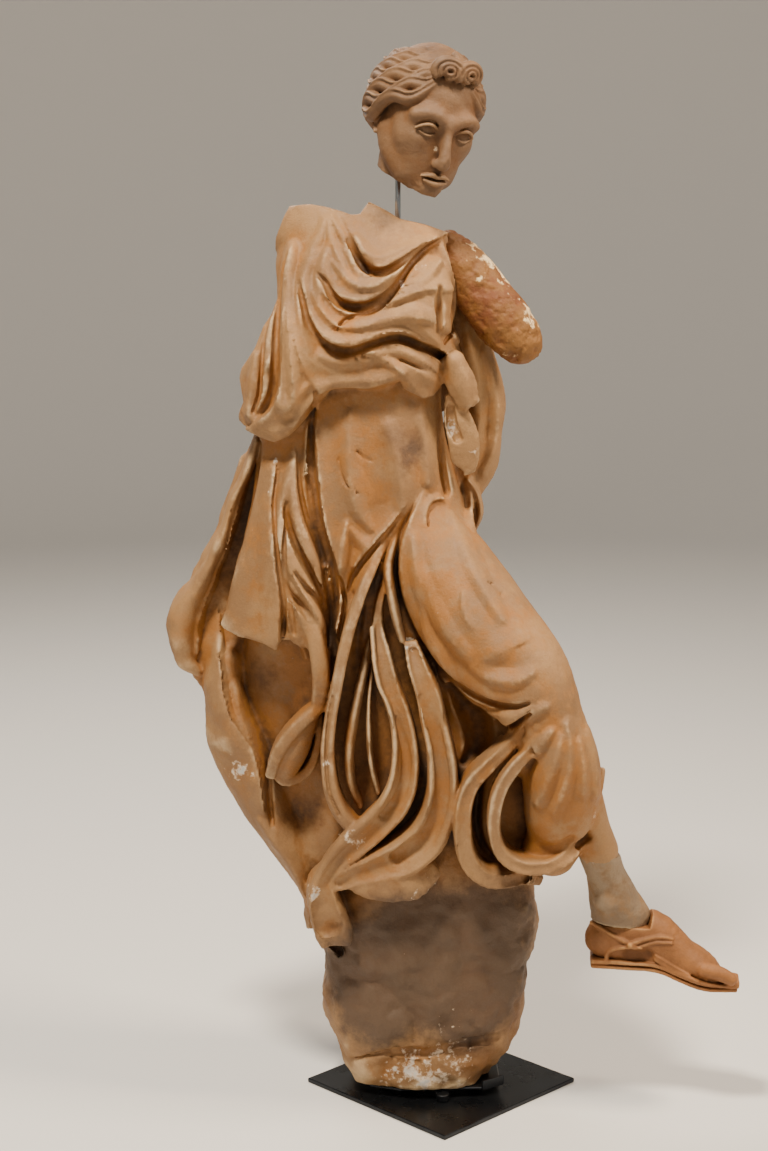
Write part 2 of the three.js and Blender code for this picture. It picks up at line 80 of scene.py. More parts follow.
# how the clay is worked; lengths are in mm, the rest are shares
clayValues = {
    "farAway": 60, "reach": 14,
    # a fold rises in a curve on each side of its crest
    "steepCurve": 1.2, "slowCurve": 1.3, "throughDepth": 0.06, "foldJoin": 3, "foldSwell": 0.6,
    # the hollow under a lapping fold, in shares of the fold's own width and height
    "undercutShift": 0.8, "undercutWidth": 0.62, "undercutDepth": 0.9, "undercutEase": 0.7,
    "dishDepth": 0.55, "carveJoin": 3,
}


# The clay is a grid of distances in mm, negative inside the marble.
class Clay:
    def __init__(self, low, high, voxel):
        self.low, self.voxel = np.array(low, float), voxel
        size = np.ceil((np.array(high) - self.low) / voxel).astype(int) + 1
        self.field = np.full(size, clayValues["farAway"], np.float32)
        self.rise = np.zeros(size, np.float32)
        self.axes = [self.low[a] + voxel * np.arange(size[a]) for a in range(3)]

    def window(self, low, high):
        first = np.maximum(np.floor((np.array(low) - self.low) / self.voxel), 0).astype(int)
        last = np.minimum(np.ceil((np.array(high) - self.low) / self.voxel) + 1,
                          self.field.shape).astype(int)
        return first, np.maximum(last, first)

    # distance to a sweep; each row is [x, y, z, half width, half depth]
    def distanceTo(self, rows, power, facing=None):
        centre, girth = rows[:, :3], rows[:, 3:5]
        along = unit(np.gradient(centre, axis=0))
        front = np.array([[0, -1.0, 0]]) if facing is None else unit(centre - facing)
        forward = unit(front - along * (along * front).sum(1)[:, None])
        across = np.cross(along, forward)
        around = girth.max(1) + clayValues["reach"]
        first, last = self.window((centre - around[:, None]).min(0),
                                  (centre + around[:, None]).max(0))
        local = np.full(last - first, clayValues["farAway"], np.float32)
        for i in range(len(rows) - 1):
            near = max(around[i], around[i + 1])
            lo, hi = self.window(np.minimum(centre[i], centre[i + 1]) - near,
                                 np.maximum(centre[i], centre[i + 1]) + near)
            lo, hi = np.maximum(lo, first), np.minimum(hi, last)
            if (hi <= lo).any():
                continue
            x, y, z = [(self.axes[a][lo[a]:hi[a]] - centre[i][a]).astype(np.float32)
                       for a in range(3)]
            x, y, z = x[:, None, None], y[None, :, None], z[None, None, :]
            run = (centre[i + 1] - centre[i]).astype(np.float32)
            s = np.clip((x * run[0] + y * run[1] + z * run[2]) / max(run @ run, 1e-6), 0, 1)
            dx, dy, dz = x - s * run[0], y - s * run[1], z - s * run[2]
            w, f, t = [unit(v[i] + v[i + 1]).astype(np.float32)
                       for v in (across, forward, along)]
            size = girth.astype(np.float32)
            width = size[i][0] + s * (size[i + 1][0] - size[i][0])
            depth = size[i][1] + s * (size[i + 1][1] - size[i][1])
            tip = np.minimum(width, depth)
            a = np.abs(dx * w[0] + dy * w[1] + dz * w[2]) / width
            b = np.abs(dx * f[0] + dy * f[1] + dz * f[2]) / depth
            c = np.abs(dx * t[0] + dy * t[1] + dz * t[2]) / tip
            if power == 2:
                k0 = np.sqrt(a * a + b * b + c * c)
                k1 = np.sqrt((a / width) ** 2 + (b / depth) ** 2 + (c / tip) ** 2)
                d = (k0 - 1) * k0 / np.maximum(k1, 1e-6)
            else:
                k0 = (a ** power + b ** power + c ** power) ** (1 / power) + 1e-6
                q = power - 1
                k1 = np.sqrt((a ** q / width) ** 2 + (b ** q / depth) ** 2
                             + (c ** q / tip) ** 2) / k0 ** q
                d = (k0 - 1) / np.maximum(k1, 1e-4)
            part = tuple(slice(lo[n] - first[n], hi[n] - first[n]) for n in range(3))
            local[part] = np.minimum(local[part], d)
        return local, tuple(slice(first[n], last[n]) for n in range(3))

    def join(self, local, part, blend, cut=False):
        old = self.field[part]
        if cut:
            h = np.maximum(blend - np.abs(old + local), 0) / blend
            self.field[part] = np.maximum(old, -local) + h * h * blend * 0.25
        else:
            h = np.maximum(blend - np.abs(old - local), 0) / blend
            self.field[part] = np.minimum(old, local) - h * h * blend * 0.25

    def add(self, stations, power=2, blend=10, step=12, clip=None, facing=None):
        local, part = self.distanceTo(smoothLine(stations, step), power, facing)
        if clip is not None:
            local = np.maximum(local, clip[part])
        self.join(local, part, blend)

    def carve(self, stations, power=2, blend=5, step=10, facing=None):
        local, part = self.distanceTo(smoothLine(stations, step), power, facing)
        self.join(local, part, blend, cut=True)

    # y of the skin at points of the front view, from the front or from behind
    def skin(self, xs, zs, back=False):
        i = np.clip(np.round((xs - self.low[0]) / self.voxel).astype(int), 0,
                    self.field.shape[0] - 1)
        k = np.clip(np.round((zs - self.low[2]) / self.voxel).astype(int), 0,
                    self.field.shape[2] - 1)
        inside = self.field[i, :, k] < 0
        if back:
            j = inside.shape[1] - 1 - np.argmax(inside[:, ::-1], axis=1)
        else:
            j = np.argmax(inside, axis=1)
        depth = self.axes[1][j]
        missing = ~inside.any(axis=1)
        if missing.all():
            return np.zeros(len(xs))
        at = np.arange(len(xs))
        depth[missing] = np.interp(at[missing], at[~missing], depth[~missing])
        return depth

    # stations [x, z, half width, half height] drawn in front view, laid on the skin
    def laid(self, stations, step=8, back=False, even=5):
        rows = smoothLine(np.insert(np.array(stations, float), 1, 0, axis=1), step)
        depth = np.pad(self.skin(rows[:, 0], rows[:, 2], back), even, mode="edge")
        window = 2 * even + 1
        rows[:, 1] = np.convolve(depth, np.ones(window) / window, mode="valid")
        return rows

    # cloth rising to a crest along a line on the skin, steeper on the right hand of it
    def raiseCloth(self, stations, near, far, hand=1, lift=1, back=False, step=12, crest=1.6):
        v = clayValues
        rows = self.laid(stations, step, back)
        rows[:, 4] *= lift
        for a, b in zip(rows[:-1], rows[1:]):
            spread = max(a[3], b[3]) * max(near, far)
            low, high = np.minimum(a[:3], b[:3]) - spread, np.maximum(a[:3], b[:3]) + spread
            middle, deep = (a[1] + b[1]) / 2, min(spread, v["farAway"])
            low[1], high[1] = middle - deep, middle + deep
            lo, hi = self.window(low, high)
            if (hi <= lo).any():
                continue
            x, y, z = [(self.axes[n][lo[n]:hi[n]] - a[n]).astype(np.float32)
                       for n in range(3)]
            x, y, z = x[:, None, None], y[None, :, None], z[None, None, :]
            run = (b - a).astype(np.float32)
            s = np.clip((x * run[0] + z * run[2]) / max(run[0] ** 2 + run[2] ** 2, 1e-6), 0, 1)
            dx, dz = x - s * run[0], z - s * run[2]
            dy = y - s * run[1]
            side = (dx * run[2] - dz * run[0]) * hand
            away = np.sqrt(dx * dx + dz * dz + v["throughDepth"] * dy * dy
                           + crest * crest) - crest
            width = a[3] + s * run[3]
            height = a[4] + s * run[4]
            t = away / (width * np.where(side > 0, near, far))
            curve = np.where(side > 0, v["steepCurve"], v["slowCurve"])
            rise = height * np.maximum(1 - t, 0) ** curve
            part = tuple(slice(lo[n], hi[n]) for n in range(3))
            old = self.rise[part]
            h = np.maximum(v["foldJoin"] - np.abs(old - rise), 0) / v["foldJoin"]
            swell = h * h * v["foldSwell"] * (rise > v["foldSwell"] / 2)
            self.rise[part] = np.maximum(old, rise) + swell

    def settle(self):
        self.field -= self.rise
        self.rise[:] = 0

    # the hollow face of a band, which leaves a rim along each edge
    def dish(self, stations, share):
        rows = smoothLine(stations, 10)
        rows[:, 1] -= rows[:, 4]
        rows[:, 3] *= share
        rows[:, 4] = rows[:, 3] * clayValues["dishDepth"]
        local, part = self.distanceTo(rows, 2)
        self.join(local, part, clayValues["carveJoin"], cut=True)

    def groove(self, stations, power=1.6):
        local, part = self.distanceTo(self.laid(stations), power)
        self.join(local, part, clayValues["carveJoin"], cut=True)

    # the hollow under a lapping fold, along the right hand of its line
    def undercut(self, stations, share, hand=1, even=4):
        v = clayValues
        rows = self.laid(stations)
        run = unit(np.gradient(rows[:, [0, 2]], axis=0)) * hand
        aside = np.stack([run[:, 1], -run[:, 0]], 1)
        rows[:, [0, 2]] += aside * rows[:, 3:4] * v["undercutShift"]
        depth = np.pad(self.skin(rows[:, 0], rows[:, 2]), even, mode="edge")
        window = 2 * even + 1
        eased = np.convolve(depth, np.ones(window) / window, mode="valid")
        rows[:, 1] += (eased - rows[:, 1]) * v["undercutEase"]
        rows[:, 3] *= v["undercutWidth"]
        rows[:, 4] *= v["undercutDepth"] * share
        local, part = self.distanceTo(rows, 2)
        self.join(local, part, v["carveJoin"], cut=True)

    # values at points, by the eight voxels round each
    def sample(self, grid, points):
        q = (points - self.low) / self.voxel
        top = np.array(grid.shape) - 2
        i = np.clip(np.floor(q).astype(int), 0, top)
        t = np.clip(q - i, 0, 1)
        total = np.zeros(len(points), np.float32)
        for dx in (0, 1):
            for dy in (0, 1):
                for dz in (0, 1):
                    share = (np.abs(1 - dx - t[:, 0]) * np.abs(1 - dy - t[:, 1])
                             * np.abs(1 - dz - t[:, 2]))
                    total += share * grid[i[:, 0] + dx, i[:, 1] + dy, i[:, 2] + dz]
        return total

    # how much marble lies within a radius of each point: 0.5 is flat, more is a hollow
    def crowding(self, radius, points):
        filled = (self.field < 0).astype(np.float32)
        reach = max(1, round(radius / self.voxel))
        for axis in range(3):
            total = np.cumsum(np.pad(filled, [(reach + 1, reach) if a == axis else (0, 0)
                                              for a in range(3)], mode="edge"), axis=axis)
            ahead = np.take(total, range(2 * reach + 1, total.shape[axis]), axis=axis)
            behind = np.take(total, range(0, total.shape[axis] - 2 * reach - 1), axis=axis)
            filled = (ahead - behind) / (2 * reach + 1)
        return self.sample(filled, points)

    # the skin as quads, one corner in each voxel that the surface passes
    def mesh(self):
        f = self.field
        inside = f < 0
        count = np.zeros(np.array(f.shape) - 1, np.int8)
        corners = [(a, b, c) for a in (0, 1) for b in (0, 1) for c in (0, 1)]
        for a, b, c in corners:
            count += inside[a:f.shape[0] - 1 + a, b:f.shape[1] - 1 + b, c:f.shape[2] - 1 + c]
        cells = np.argwhere((count > 0) & (count < 8))
        order = np.full(count.shape, -1, np.int32)
        order[tuple(cells.T)] = np.arange(len(cells))
        value = {c: f[tuple((cells + c).T)] for c in corners}
        total, crossings = np.zeros((len(cells), 3)), np.zeros(len(cells))
        for start in corners:
            for axis in range(3):
                if start[axis]:
                    continue
                end = tuple(1 if n == axis else start[n] for n in range(3))
                a, b = value[start], value[end]
                cross = (a < 0) != (b < 0)
                share = np.where(cross, a / np.where(cross, a - b, 1), 0)
                point = np.array(start, float)[None] + share[:, None] * np.eye(3)[axis]
                total += point * cross[:, None]
                crossings += cross
        verts = self.low + (cells + total / crossings[:, None]) * self.voxel
        faces = []
        for axis in range(3):
            one, two = [n for n in range(3) if n != axis]
            low = [slice(None)] * 3
            high = [slice(None)] * 3
            low[axis], high[axis] = slice(0, -1), slice(1, None)
            for n in (one, two):
                low[n] = high[n] = slice(1, -1)
            a, b = inside[tuple(low)], inside[tuple(high)]
            edges = np.argwhere(a != b)
            out = a[tuple(edges.T)]
            edges[:, one] += 1
            edges[:, two] += 1
            ring = []
            for s, t in ((1, 1), (0, 1), (0, 0), (1, 0)):
                cell = edges.copy()
                cell[:, one] -= s
                cell[:, two] -= t
                ring.append(order[tuple(cell.T)])
            quads = np.stack(ring, 1)
            flip = out if axis != 1 else ~out
            quads[~flip] = quads[~flip][:, ::-1]
            faces.append(quads)
        return verts, np.vstack(faces)


# smooth random values at points, one lattice per octave
def noiseAt(points, size, seed, octaves=3, cells=32, offset=100):
    rng = np.random.default_rng(seed)
    total, weight = np.zeros(len(points)), 0
    for octave in range(octaves):
        lattice = rng.random((cells, cells, cells)).astype(np.float32)
        q = points / (size / 2 ** octave) + offset
        i = np.floor(q).astype(int)
        t = q - i
        t = t * t * (3 - 2 * t)
        value = 0
        for dx in (0, 1):
            for dy in (0, 1):
                for dz in (0, 1):
                    share = (np.abs(1 - dx - t[:, 0]) * np.abs(1 - dy - t[:, 1])
                             * np.abs(1 - dz - t[:, 2]))
                    value = value + share * lattice[(i[:, 0] + dx) % cells,
                                                    (i[:, 1] + dy) % cells,
                                                    (i[:, 2] + dz) % cells]
        total += value / 2 ** octave
        weight += 1 / 2 ** octave
    return total / weight * 2 - 1


def vertexNormals(verts, faces):
    normals = np.zeros_like(verts)
    flat = np.cross(verts[faces[:, 2]] - verts[faces[:, 0]],
                    verts[faces[:, 3]] - verts[faces[:, 1]])
    for n in range(4):
        np.add.at(normals, faces[:, n], flat)
    return unit(normals)


def makeObject(name, verts, faces, lift=True):
    mesh = bpy.data.meshes.new(name)
    placed = np.array(verts) + ([0, 0, plateTop] if lift else [0, 0, 0])
    mesh.from_pydata((placed * mm).tolist(), [], faces.tolist() if len(faces) else [])
    mesh.update()
    piece = bpy.data.objects.new(name, mesh)
    bpy.context.scene.collection.objects.link(piece)
    return piece


def thin(piece, triangles):
    mesh = piece.data
    now = sum(len(p.vertices) - 2 for p in mesh.polygons)
    if now <= triangles:
        return
    modifier = piece.modifiers.new("thin", "DECIMATE")
    modifier.ratio = triangles / now
    evaluated = piece.evaluated_get(bpy.context.evaluated_depsgraph_get())
    fewer = bpy.data.meshes.new_from_object(evaluated)
    piece.modifiers.clear()
    piece.data = fewer


# per-corner marks that the marble's colour is worked out from
def mark(piece, clay, wideRadius, fineRadius, lift=True):
    mesh = piece.data
    count = len(mesh.vertices)
    points = np.empty(count * 3, np.float32)
    mesh.vertices.foreach_get("co", points)
    points = points.reshape(-1, 3) / mm - ([0, 0, plateTop] if lift else [0, 0, 0])
    for label, radius in (("hollow", wideRadius), ("edge", fineRadius)):
        values = clay.crowding(radius, points).astype(np.float32)
        mesh.attributes.new(label, "FLOAT", "POINT").data.foreach_set("value", values)
    mesh.polygons.foreach_set("use_smooth", [True] * len(mesh.polygons))
    return points


# body, cloth and rock: one carved block
bodyValues = {
    "voxel": 2.6,
    "triangles": 195000,
    "low": [-475, -245, 5], "high": [300, 130, 1490], "bottom": 17,
    "massBlend": 14, "thighBlend": 5, "mantleBlend": 3,
    "lapLift": 1.8, "softLift": 1.5, "foldLift": 1.9, "gatherLift": 1.5, "undercut": 1.3,
    # how far a fold runs out on its near and far side, in shares of its half width
    "lapRun": (0.45, 6), "leftLapRun": (0.5, 4), "softRun": (2, 5), "foldRun": (1.5, 2.1),
    "gatherRun": (0.8, 2.6), "pleatRun": (1.2, 3.4),
    "bandPower": 5, "bandBlend": 4, "dish": 0.74, "notchPower": 4, "notchBlend": 2,
    # weathering in mm, and the size in mm of the pattern that it follows
    "weathering": 0.9, "rockRoughness": 20, "rockPattern": 130, "rockTop": 350, "rockFade": 20,
    "rockStretch": 1.5, "rockSink": 0.35,
    "pitting": 0.5, "rockPitting": 2.2, "pitPattern": 22,
    "chipping": 5, "chipPattern": 30, "chipEdge": 0.44, "chipFade": 0.14, "chipReach": 7,
    "flutter": 7, "flutterPattern": 46, "flutterFrom": -330, "flutterFade": 12,
    # how long folds down the back sway in mm, and how their sizes differ
    "sway": 8, "swayTurn": 1.7, "leastSize": 0.85, "sizeSpread": 0.3, "sizeTurn": 0.618,
    "wideMark": 30, "fineMark": 9,
}
# [x, y, z, half width, half depth] of each station
masses = {
    "torso": [[-118, 5, 1452, 92, 42], [-121, 2, 1432, 132, 66], [-126, 0, 1385, 134, 86],
              [-126, 0, 1320, 134, 96], [-124, 0, 1250, 122, 92], [-119, 0, 1180, 114, 90],
              [-115, 0, 1090, 112, 94], [-110, 0, 1010, 122, 96], [-100, 5, 930, 140, 92]],
    "shoulders": [[-246, 12, 1420, 38, 40], [-208, 8, 1411, 50, 56], [-110, 6, 1408, 50, 64],
                  [-25, 4, 1385, 42, 56], [14, 2, 1372, 26, 42]],
    "skirt": [[-116, 5, 1100, 112, 86], [-120, 10, 1000, 142, 88], [-122, 14, 900, 168, 88],
              [-128, 18, 800, 186, 84], [-138, 22, 700, 190, 80], [-122, 22, 600, 186, 78],
              [-88, 20, 500, 176, 84], [-55, 18, 400, 168, 94], [-38, 12, 310, 176, 98]],
    "thigh": [[-55, -8, 955, 70, 80], [5, -50, 880, 78, 86], [68, -100, 800, 78, 82],
              [125, -138, 742, 67, 70], [155, -152, 700, 52, 58]],
    "shin": [[152, -150, 715, 44, 52], [166, -152, 640, 60, 60], [182, -148, 575, 62, 62],
             [184, -142, 515, 58, 58], [180, -134, 470, 48, 42], [168, -128, 440, 44, 38]],
    "rock": [[-40, -4, 17, 62, 56], [-25, -4, 40, 98, 74], [-27, -4, 60, 119, 84],
             [-35, -4, 90, 133, 92], [-33, -4, 110, 146, 97], [-28, -2, 150, 165, 102],
             [-28, 0, 176, 171, 102], [-41, 0, 204, 160, 102], [-42, 0, 222, 159, 102],
             [-37, 0, 245, 166, 104], [-30, 0, 275, 178, 104], [-28, 2, 310, 184, 102],
             [-30, 6, 350, 186, 100], [-45, 12, 400, 186, 96], [-85, 18, 470, 190, 86]],
    "nearBreast": [[-34, -58, 1388, 20, 12], [-38, -66, 1350, 44, 32],
                   [-40, -70, 1312, 48, 40], [-42, -62, 1274, 28, 20]],
    "farBreast": [[-178, -56, 1385, 24, 12], [-180, -62, 1350, 46, 28],
                  [-180, -64, 1315, 46, 32], [-178, -60, 1280, 30, 18]],
    "lowerLeft": [[-352, 16, 720, 24, 30], [-358, 12, 670, 34, 44], [-345, 8, 610, 46, 56],
                  [-318, 4, 545, 48, 62], [-286, 2, 478, 42, 64], [-248, 2, 408, 34, 62],
                  [-222, 0, 340, 18, 56], [-222, -4, 272, 8, 24]],
    "flyingWeb": [[-290, 44, 1078, 22, 22], [-306, 46, 990, 34, 24], [-326, 48, 905, 46, 26],
                  [-354, 48, 820, 70, 26], [-362, 44, 750, 76, 26], [-342, 38, 690, 56, 28]],
    "backCloth": [[22, 40, 1275, 38, 28], [42, 48, 1200, 46, 28], [52, 52, 1150, 48, 30],
                  [46, 52, 1100, 46, 26], [46, 50, 1055, 46, 30], [22, 46, 1005, 42, 28],
                  [18, 40, 960, 42, 30], [8, 32, 915, 32, 24]],
    "kneeCloth": [[-20, -34, 800, 56, 46], [36, -56, 728, 60, 46], [58, -56, 650, 62, 40],
                  [70, -56, 570, 70, 44], [98, -64, 500, 88, 54], [104, -60, 446, 78, 50]],
}
squareness = {"rock": 2.7, "skirt": 2.3, "torso": 2.2, "mantle": 2.2, "backCloth": 2.8,
              "flyingWeb": 3}
farThigh = [[-214, -6, 1120, 66, 60], [-222, -10, 1060, 78, 68], [-238, -20, 980, 82, 72],
            [-256, -30, 900, 84, 72], [-270, -36, 830, 88, 66], [-278, -40, 745, 90, 60]]
mantle = [[-128, 2, 1412, 118, 62], [-130, 0, 1370, 138, 90], [-130, 0, 1320, 140, 104],
          [-138, 0, 1262, 146, 108], [-152, 0, 1205, 168, 112], [-158, 2, 1145, 174, 112],
          [-158, 6, 1080, 176, 108]]
hemFront = [[-360, 1126], [-310, 1116], [-270, 1100], [-245, 1112], [-220, 1140],
            [-196, 1168], [-180, 1182], [-150, 1186], [-122, 1181], [-98, 1186],
            [-72, 1195], [-67, 1180], [-55, 1173], [-36, 1163], [-20, 1166], [-8, 1178],
            [-2, 1192], [8, 1204], [70, 1206]]
hemBack = [[-360, 1120], [-240, 1100], [-170, 1112], [-100, 1104], [-30, 1126], [70, 1150]]
thighBreak = [[-460, 815], [-362, 800], [-335, 786], [-300, 776], [-268, 769],
              [-262, 780], [-150, 775]]
# ribbons and bands of cloth that stand on edge: [x, y, z, half width, half depth]
bands = {
    "ribbon": [[-52, -106, 770, 11, 22], [-42, -112, 738, 16, 34], [-26, -116, 695, 20, 40],
               [-17, -116, 652, 21, 42], [-8, -116, 612, 22, 44], [-4, -116, 575, 24, 44],
               [-5, -116, 535, 25, 44], [-15, -116, 495, 27, 44], [-34, -116, 460, 31, 42],
               [-66, -118, 434, 31, 38], [-105, -118, 418, 24, 34], [-145, -116, 402, 18, 30],
               [-170, -112, 388, 12, 24]],
    "loopRight": [[-66, -62, 950, 3, 8], [-86, -74, 900, 5, 14], [-102, -80, 850, 6, 18],
                  [-107, -82, 800, 9, 22], [-98, -90, 750, 14, 32], [-87, -96, 705, 17, 36],
                  [-73, -100, 665, 18, 38], [-63, -102, 620, 19, 40], [-61, -104, 580, 20, 40],
                  [-68, -106, 540, 21, 40], [-85, -108, 508, 22, 38],
                  [-112, -112, 480, 22, 36], [-142, -114, 452, 20, 34],
                  [-172, -112, 425, 17, 32], [-192, -108, 395, 14, 30],
                  [-196, -98, 360, 24, 42], [-184, -80, 310, 32, 52]],
    "loopLeft": [[-88, -74, 955, 6, 18], [-112, -84, 905, 8, 26], [-132, -94, 860, 9, 32],
                 [-149, -100, 810, 9, 36], [-161, -104, 765, 9, 36], [-171, -108, 715, 9, 36],
                 [-182, -110, 655, 10, 38], [-186, -110, 600, 10, 38],
                 [-180, -110, 545, 11, 38], [-165, -112, 505, 11, 36],
                 [-142, -112, 478, 10, 30]],
    "calfBand": [[128, -176, 664, 7, 14], [98, -158, 625, 10, 26], [68, -144, 592, 12, 34],
                 [42, -136, 560, 13, 38], [30, -132, 525, 14, 40], [28, -130, 490, 15, 40],
                 [31, -130, 455, 15, 40], [43, -130, 424, 15, 38], [66, -128, 403, 14, 36],
                 [96, -126, 399, 14, 34], [122, -122, 402, 13, 28], [142, -110, 395, 10, 22]],
    "bellRim": [[140, -190, 632, 7, 12], [108, -184, 598, 10, 22], [86, -176, 562, 10, 30],
                [77, -170, 525, 10, 34], [77, -166, 488, 10, 36], [88, -164, 456, 11, 36],
                [112, -164, 437, 12, 36], [145, -164, 431, 12, 34], [178, -162, 438, 12, 30],
                [203, -156, 458, 11, 24], [218, -148, 484, 9, 18]],
    "curl": [[-190, -70, 676, 8, 26], [-218, -80, 656, 11, 32], [-246, -84, 628, 12, 34],
             [-266, -80, 598, 11, 34], [-277, -70, 566, 9, 30]],
    "curlUnder": [[-276, -64, 566, 7, 26], [-262, -62, 546, 8, 26], [-238, -60, 546, 8, 22],
                  [-216, -60, 566, 8, 20], [-204, -62, 604, 6, 18], [-200, -62, 650, 5, 16]],
    "hemSheetUpper": [[8, -56, 1218, 14, 12], [22, -60, 1190, 24, 12], [34, -58, 1160, 19, 12]],
    "hemSheetLower": [[14, -46, 1160, 15, 10], [20, -48, 1128, 22, 11], [29, -46, 1096, 25, 11],
                      [32, -42, 1064, 22, 10], [37, -40, 1048, 12, 9]],
    "brokenBlock": [[-150, -104, 396, 14, 30], [-112, -110, 386, 22, 38],
                    [-62, -112, 384, 24, 38], [-26, -106, 402, 16, 30]],
    "farRope": [[-232, -76, 850, 9, 22], [-214, -82, 808, 12, 30], [-202, -84, 762, 14, 32],
                [-198, -84, 715, 14, 32], [-202, -80, 680, 11, 28]],
}
# thinner edges of cloth: [x, y, z, half width, half depth]
crests = {
    "curlLeaf": [[-204, -74, 664, 8, 22], [-226, -80, 632, 19, 28], [-243, -80, 598, 25, 30],
                 [-254, -72, 566, 19, 26], [-258, -66, 546, 9, 16]],
    "flyingRidge": [[-302, 14, 1085, 8, 22], [-318, 14, 1040, 9, 28], [-340, 14, 990, 10, 32],
                    [-358, 14, 935, 11, 34], [-378, 16, 890, 13, 34], [-400, 18, 850, 18, 36],
                    [-422, 20, 812, 25, 36], [-430, 20, 768, 24, 32], [-424, 22, 724, 16, 24],
                    [-404, 24, 704, 9, 14]],
    "sideOuter": [[-286, 0, 1262, 8, 26], [-304, 0, 1216, 13, 32], [-310, 0, 1170, 12, 34],
                  [-308, 2, 1132, 14, 32]],
    "loopRim": [[-116, -104, 800, 4, 12], [-112, -118, 750, 4, 14], [-104, -126, 712, 4, 14],
                [-90, -132, 682, 4.5, 14], [-81, -136, 640, 5, 14], [-80, -138, 600, 5, 14],
                [-86, -140, 560, 5, 14], [-103, -142, 524, 6, 14], [-130, -142, 494, 8, 12],
                [-160, -140, 466, 9, 12], [-186, -136, 430, 7, 12], [-203, -128, 396, 6, 12],
                [-210, -120, 360, 5, 12]],
    "loopOuter": [[-186, -122, 660, 4, 20], [-193, -124, 620, 4, 20], [-194, -124, 580, 4, 20],
                  [-188, -124, 535, 4, 20], [-174, -124, 500, 4, 18], [-156, -122, 478, 4, 14]],
    "innerFoldLeft": [[-118, -50, 790, 3, 12], [-127, -72, 740, 6, 20], [-137, -86, 695, 8, 28],
                      [-147, -92, 645, 9, 30], [-153, -92, 595, 9, 30], [-150, -86, 545, 8, 28],
                      [-138, -74, 508, 6, 22]],
    "innerFoldRight": [[-116, -54, 735, 3, 12], [-121, -78, 680, 4, 20],
                       [-121, -88, 625, 5, 26], [-117, -90, 575, 5, 26],
                       [-107, -88, 530, 4, 20]],
    "greyFold": [[-64, -66, 985, 5, 10], [-80, -84, 940, 7, 16], [-90, -92, 900, 8, 22],
                 [-86, -100, 860, 8, 26], [-78, -104, 820, 8, 28], [-68, -104, 784, 6, 22]],
    "shinHem": [[250, -128, 575, 6, 16], [240, -140, 542, 8, 22], [220, -148, 522, 9, 24],
                [208, -152, 508, 7, 18]],
    "neckStump": [[-120, -14, 1452, 16, 20], [-104, -2, 1452, 22, 26], [-72, 6, 1436, 26, 34],
                  [-36, 6, 1416, 22, 34]],
    "brooch": [[-198, -44, 1452, 8, 9], [-186, -50, 1454, 9, 10], [-172, -46, 1452, 7, 8],
               [-164, -42, 1455, 7, 7]],
    "hemCascade": [[14, -66, 1222, 16, 20], [24, -62, 1186, 20, 22], [33, -56, 1156, 14, 20]],
    "backTail": [[40, 22, 1022, 5, 18], [54, 22, 1000, 6, 18], [60, 22, 968, 6, 18],
                 [50, 22, 940, 5, 12]],
}
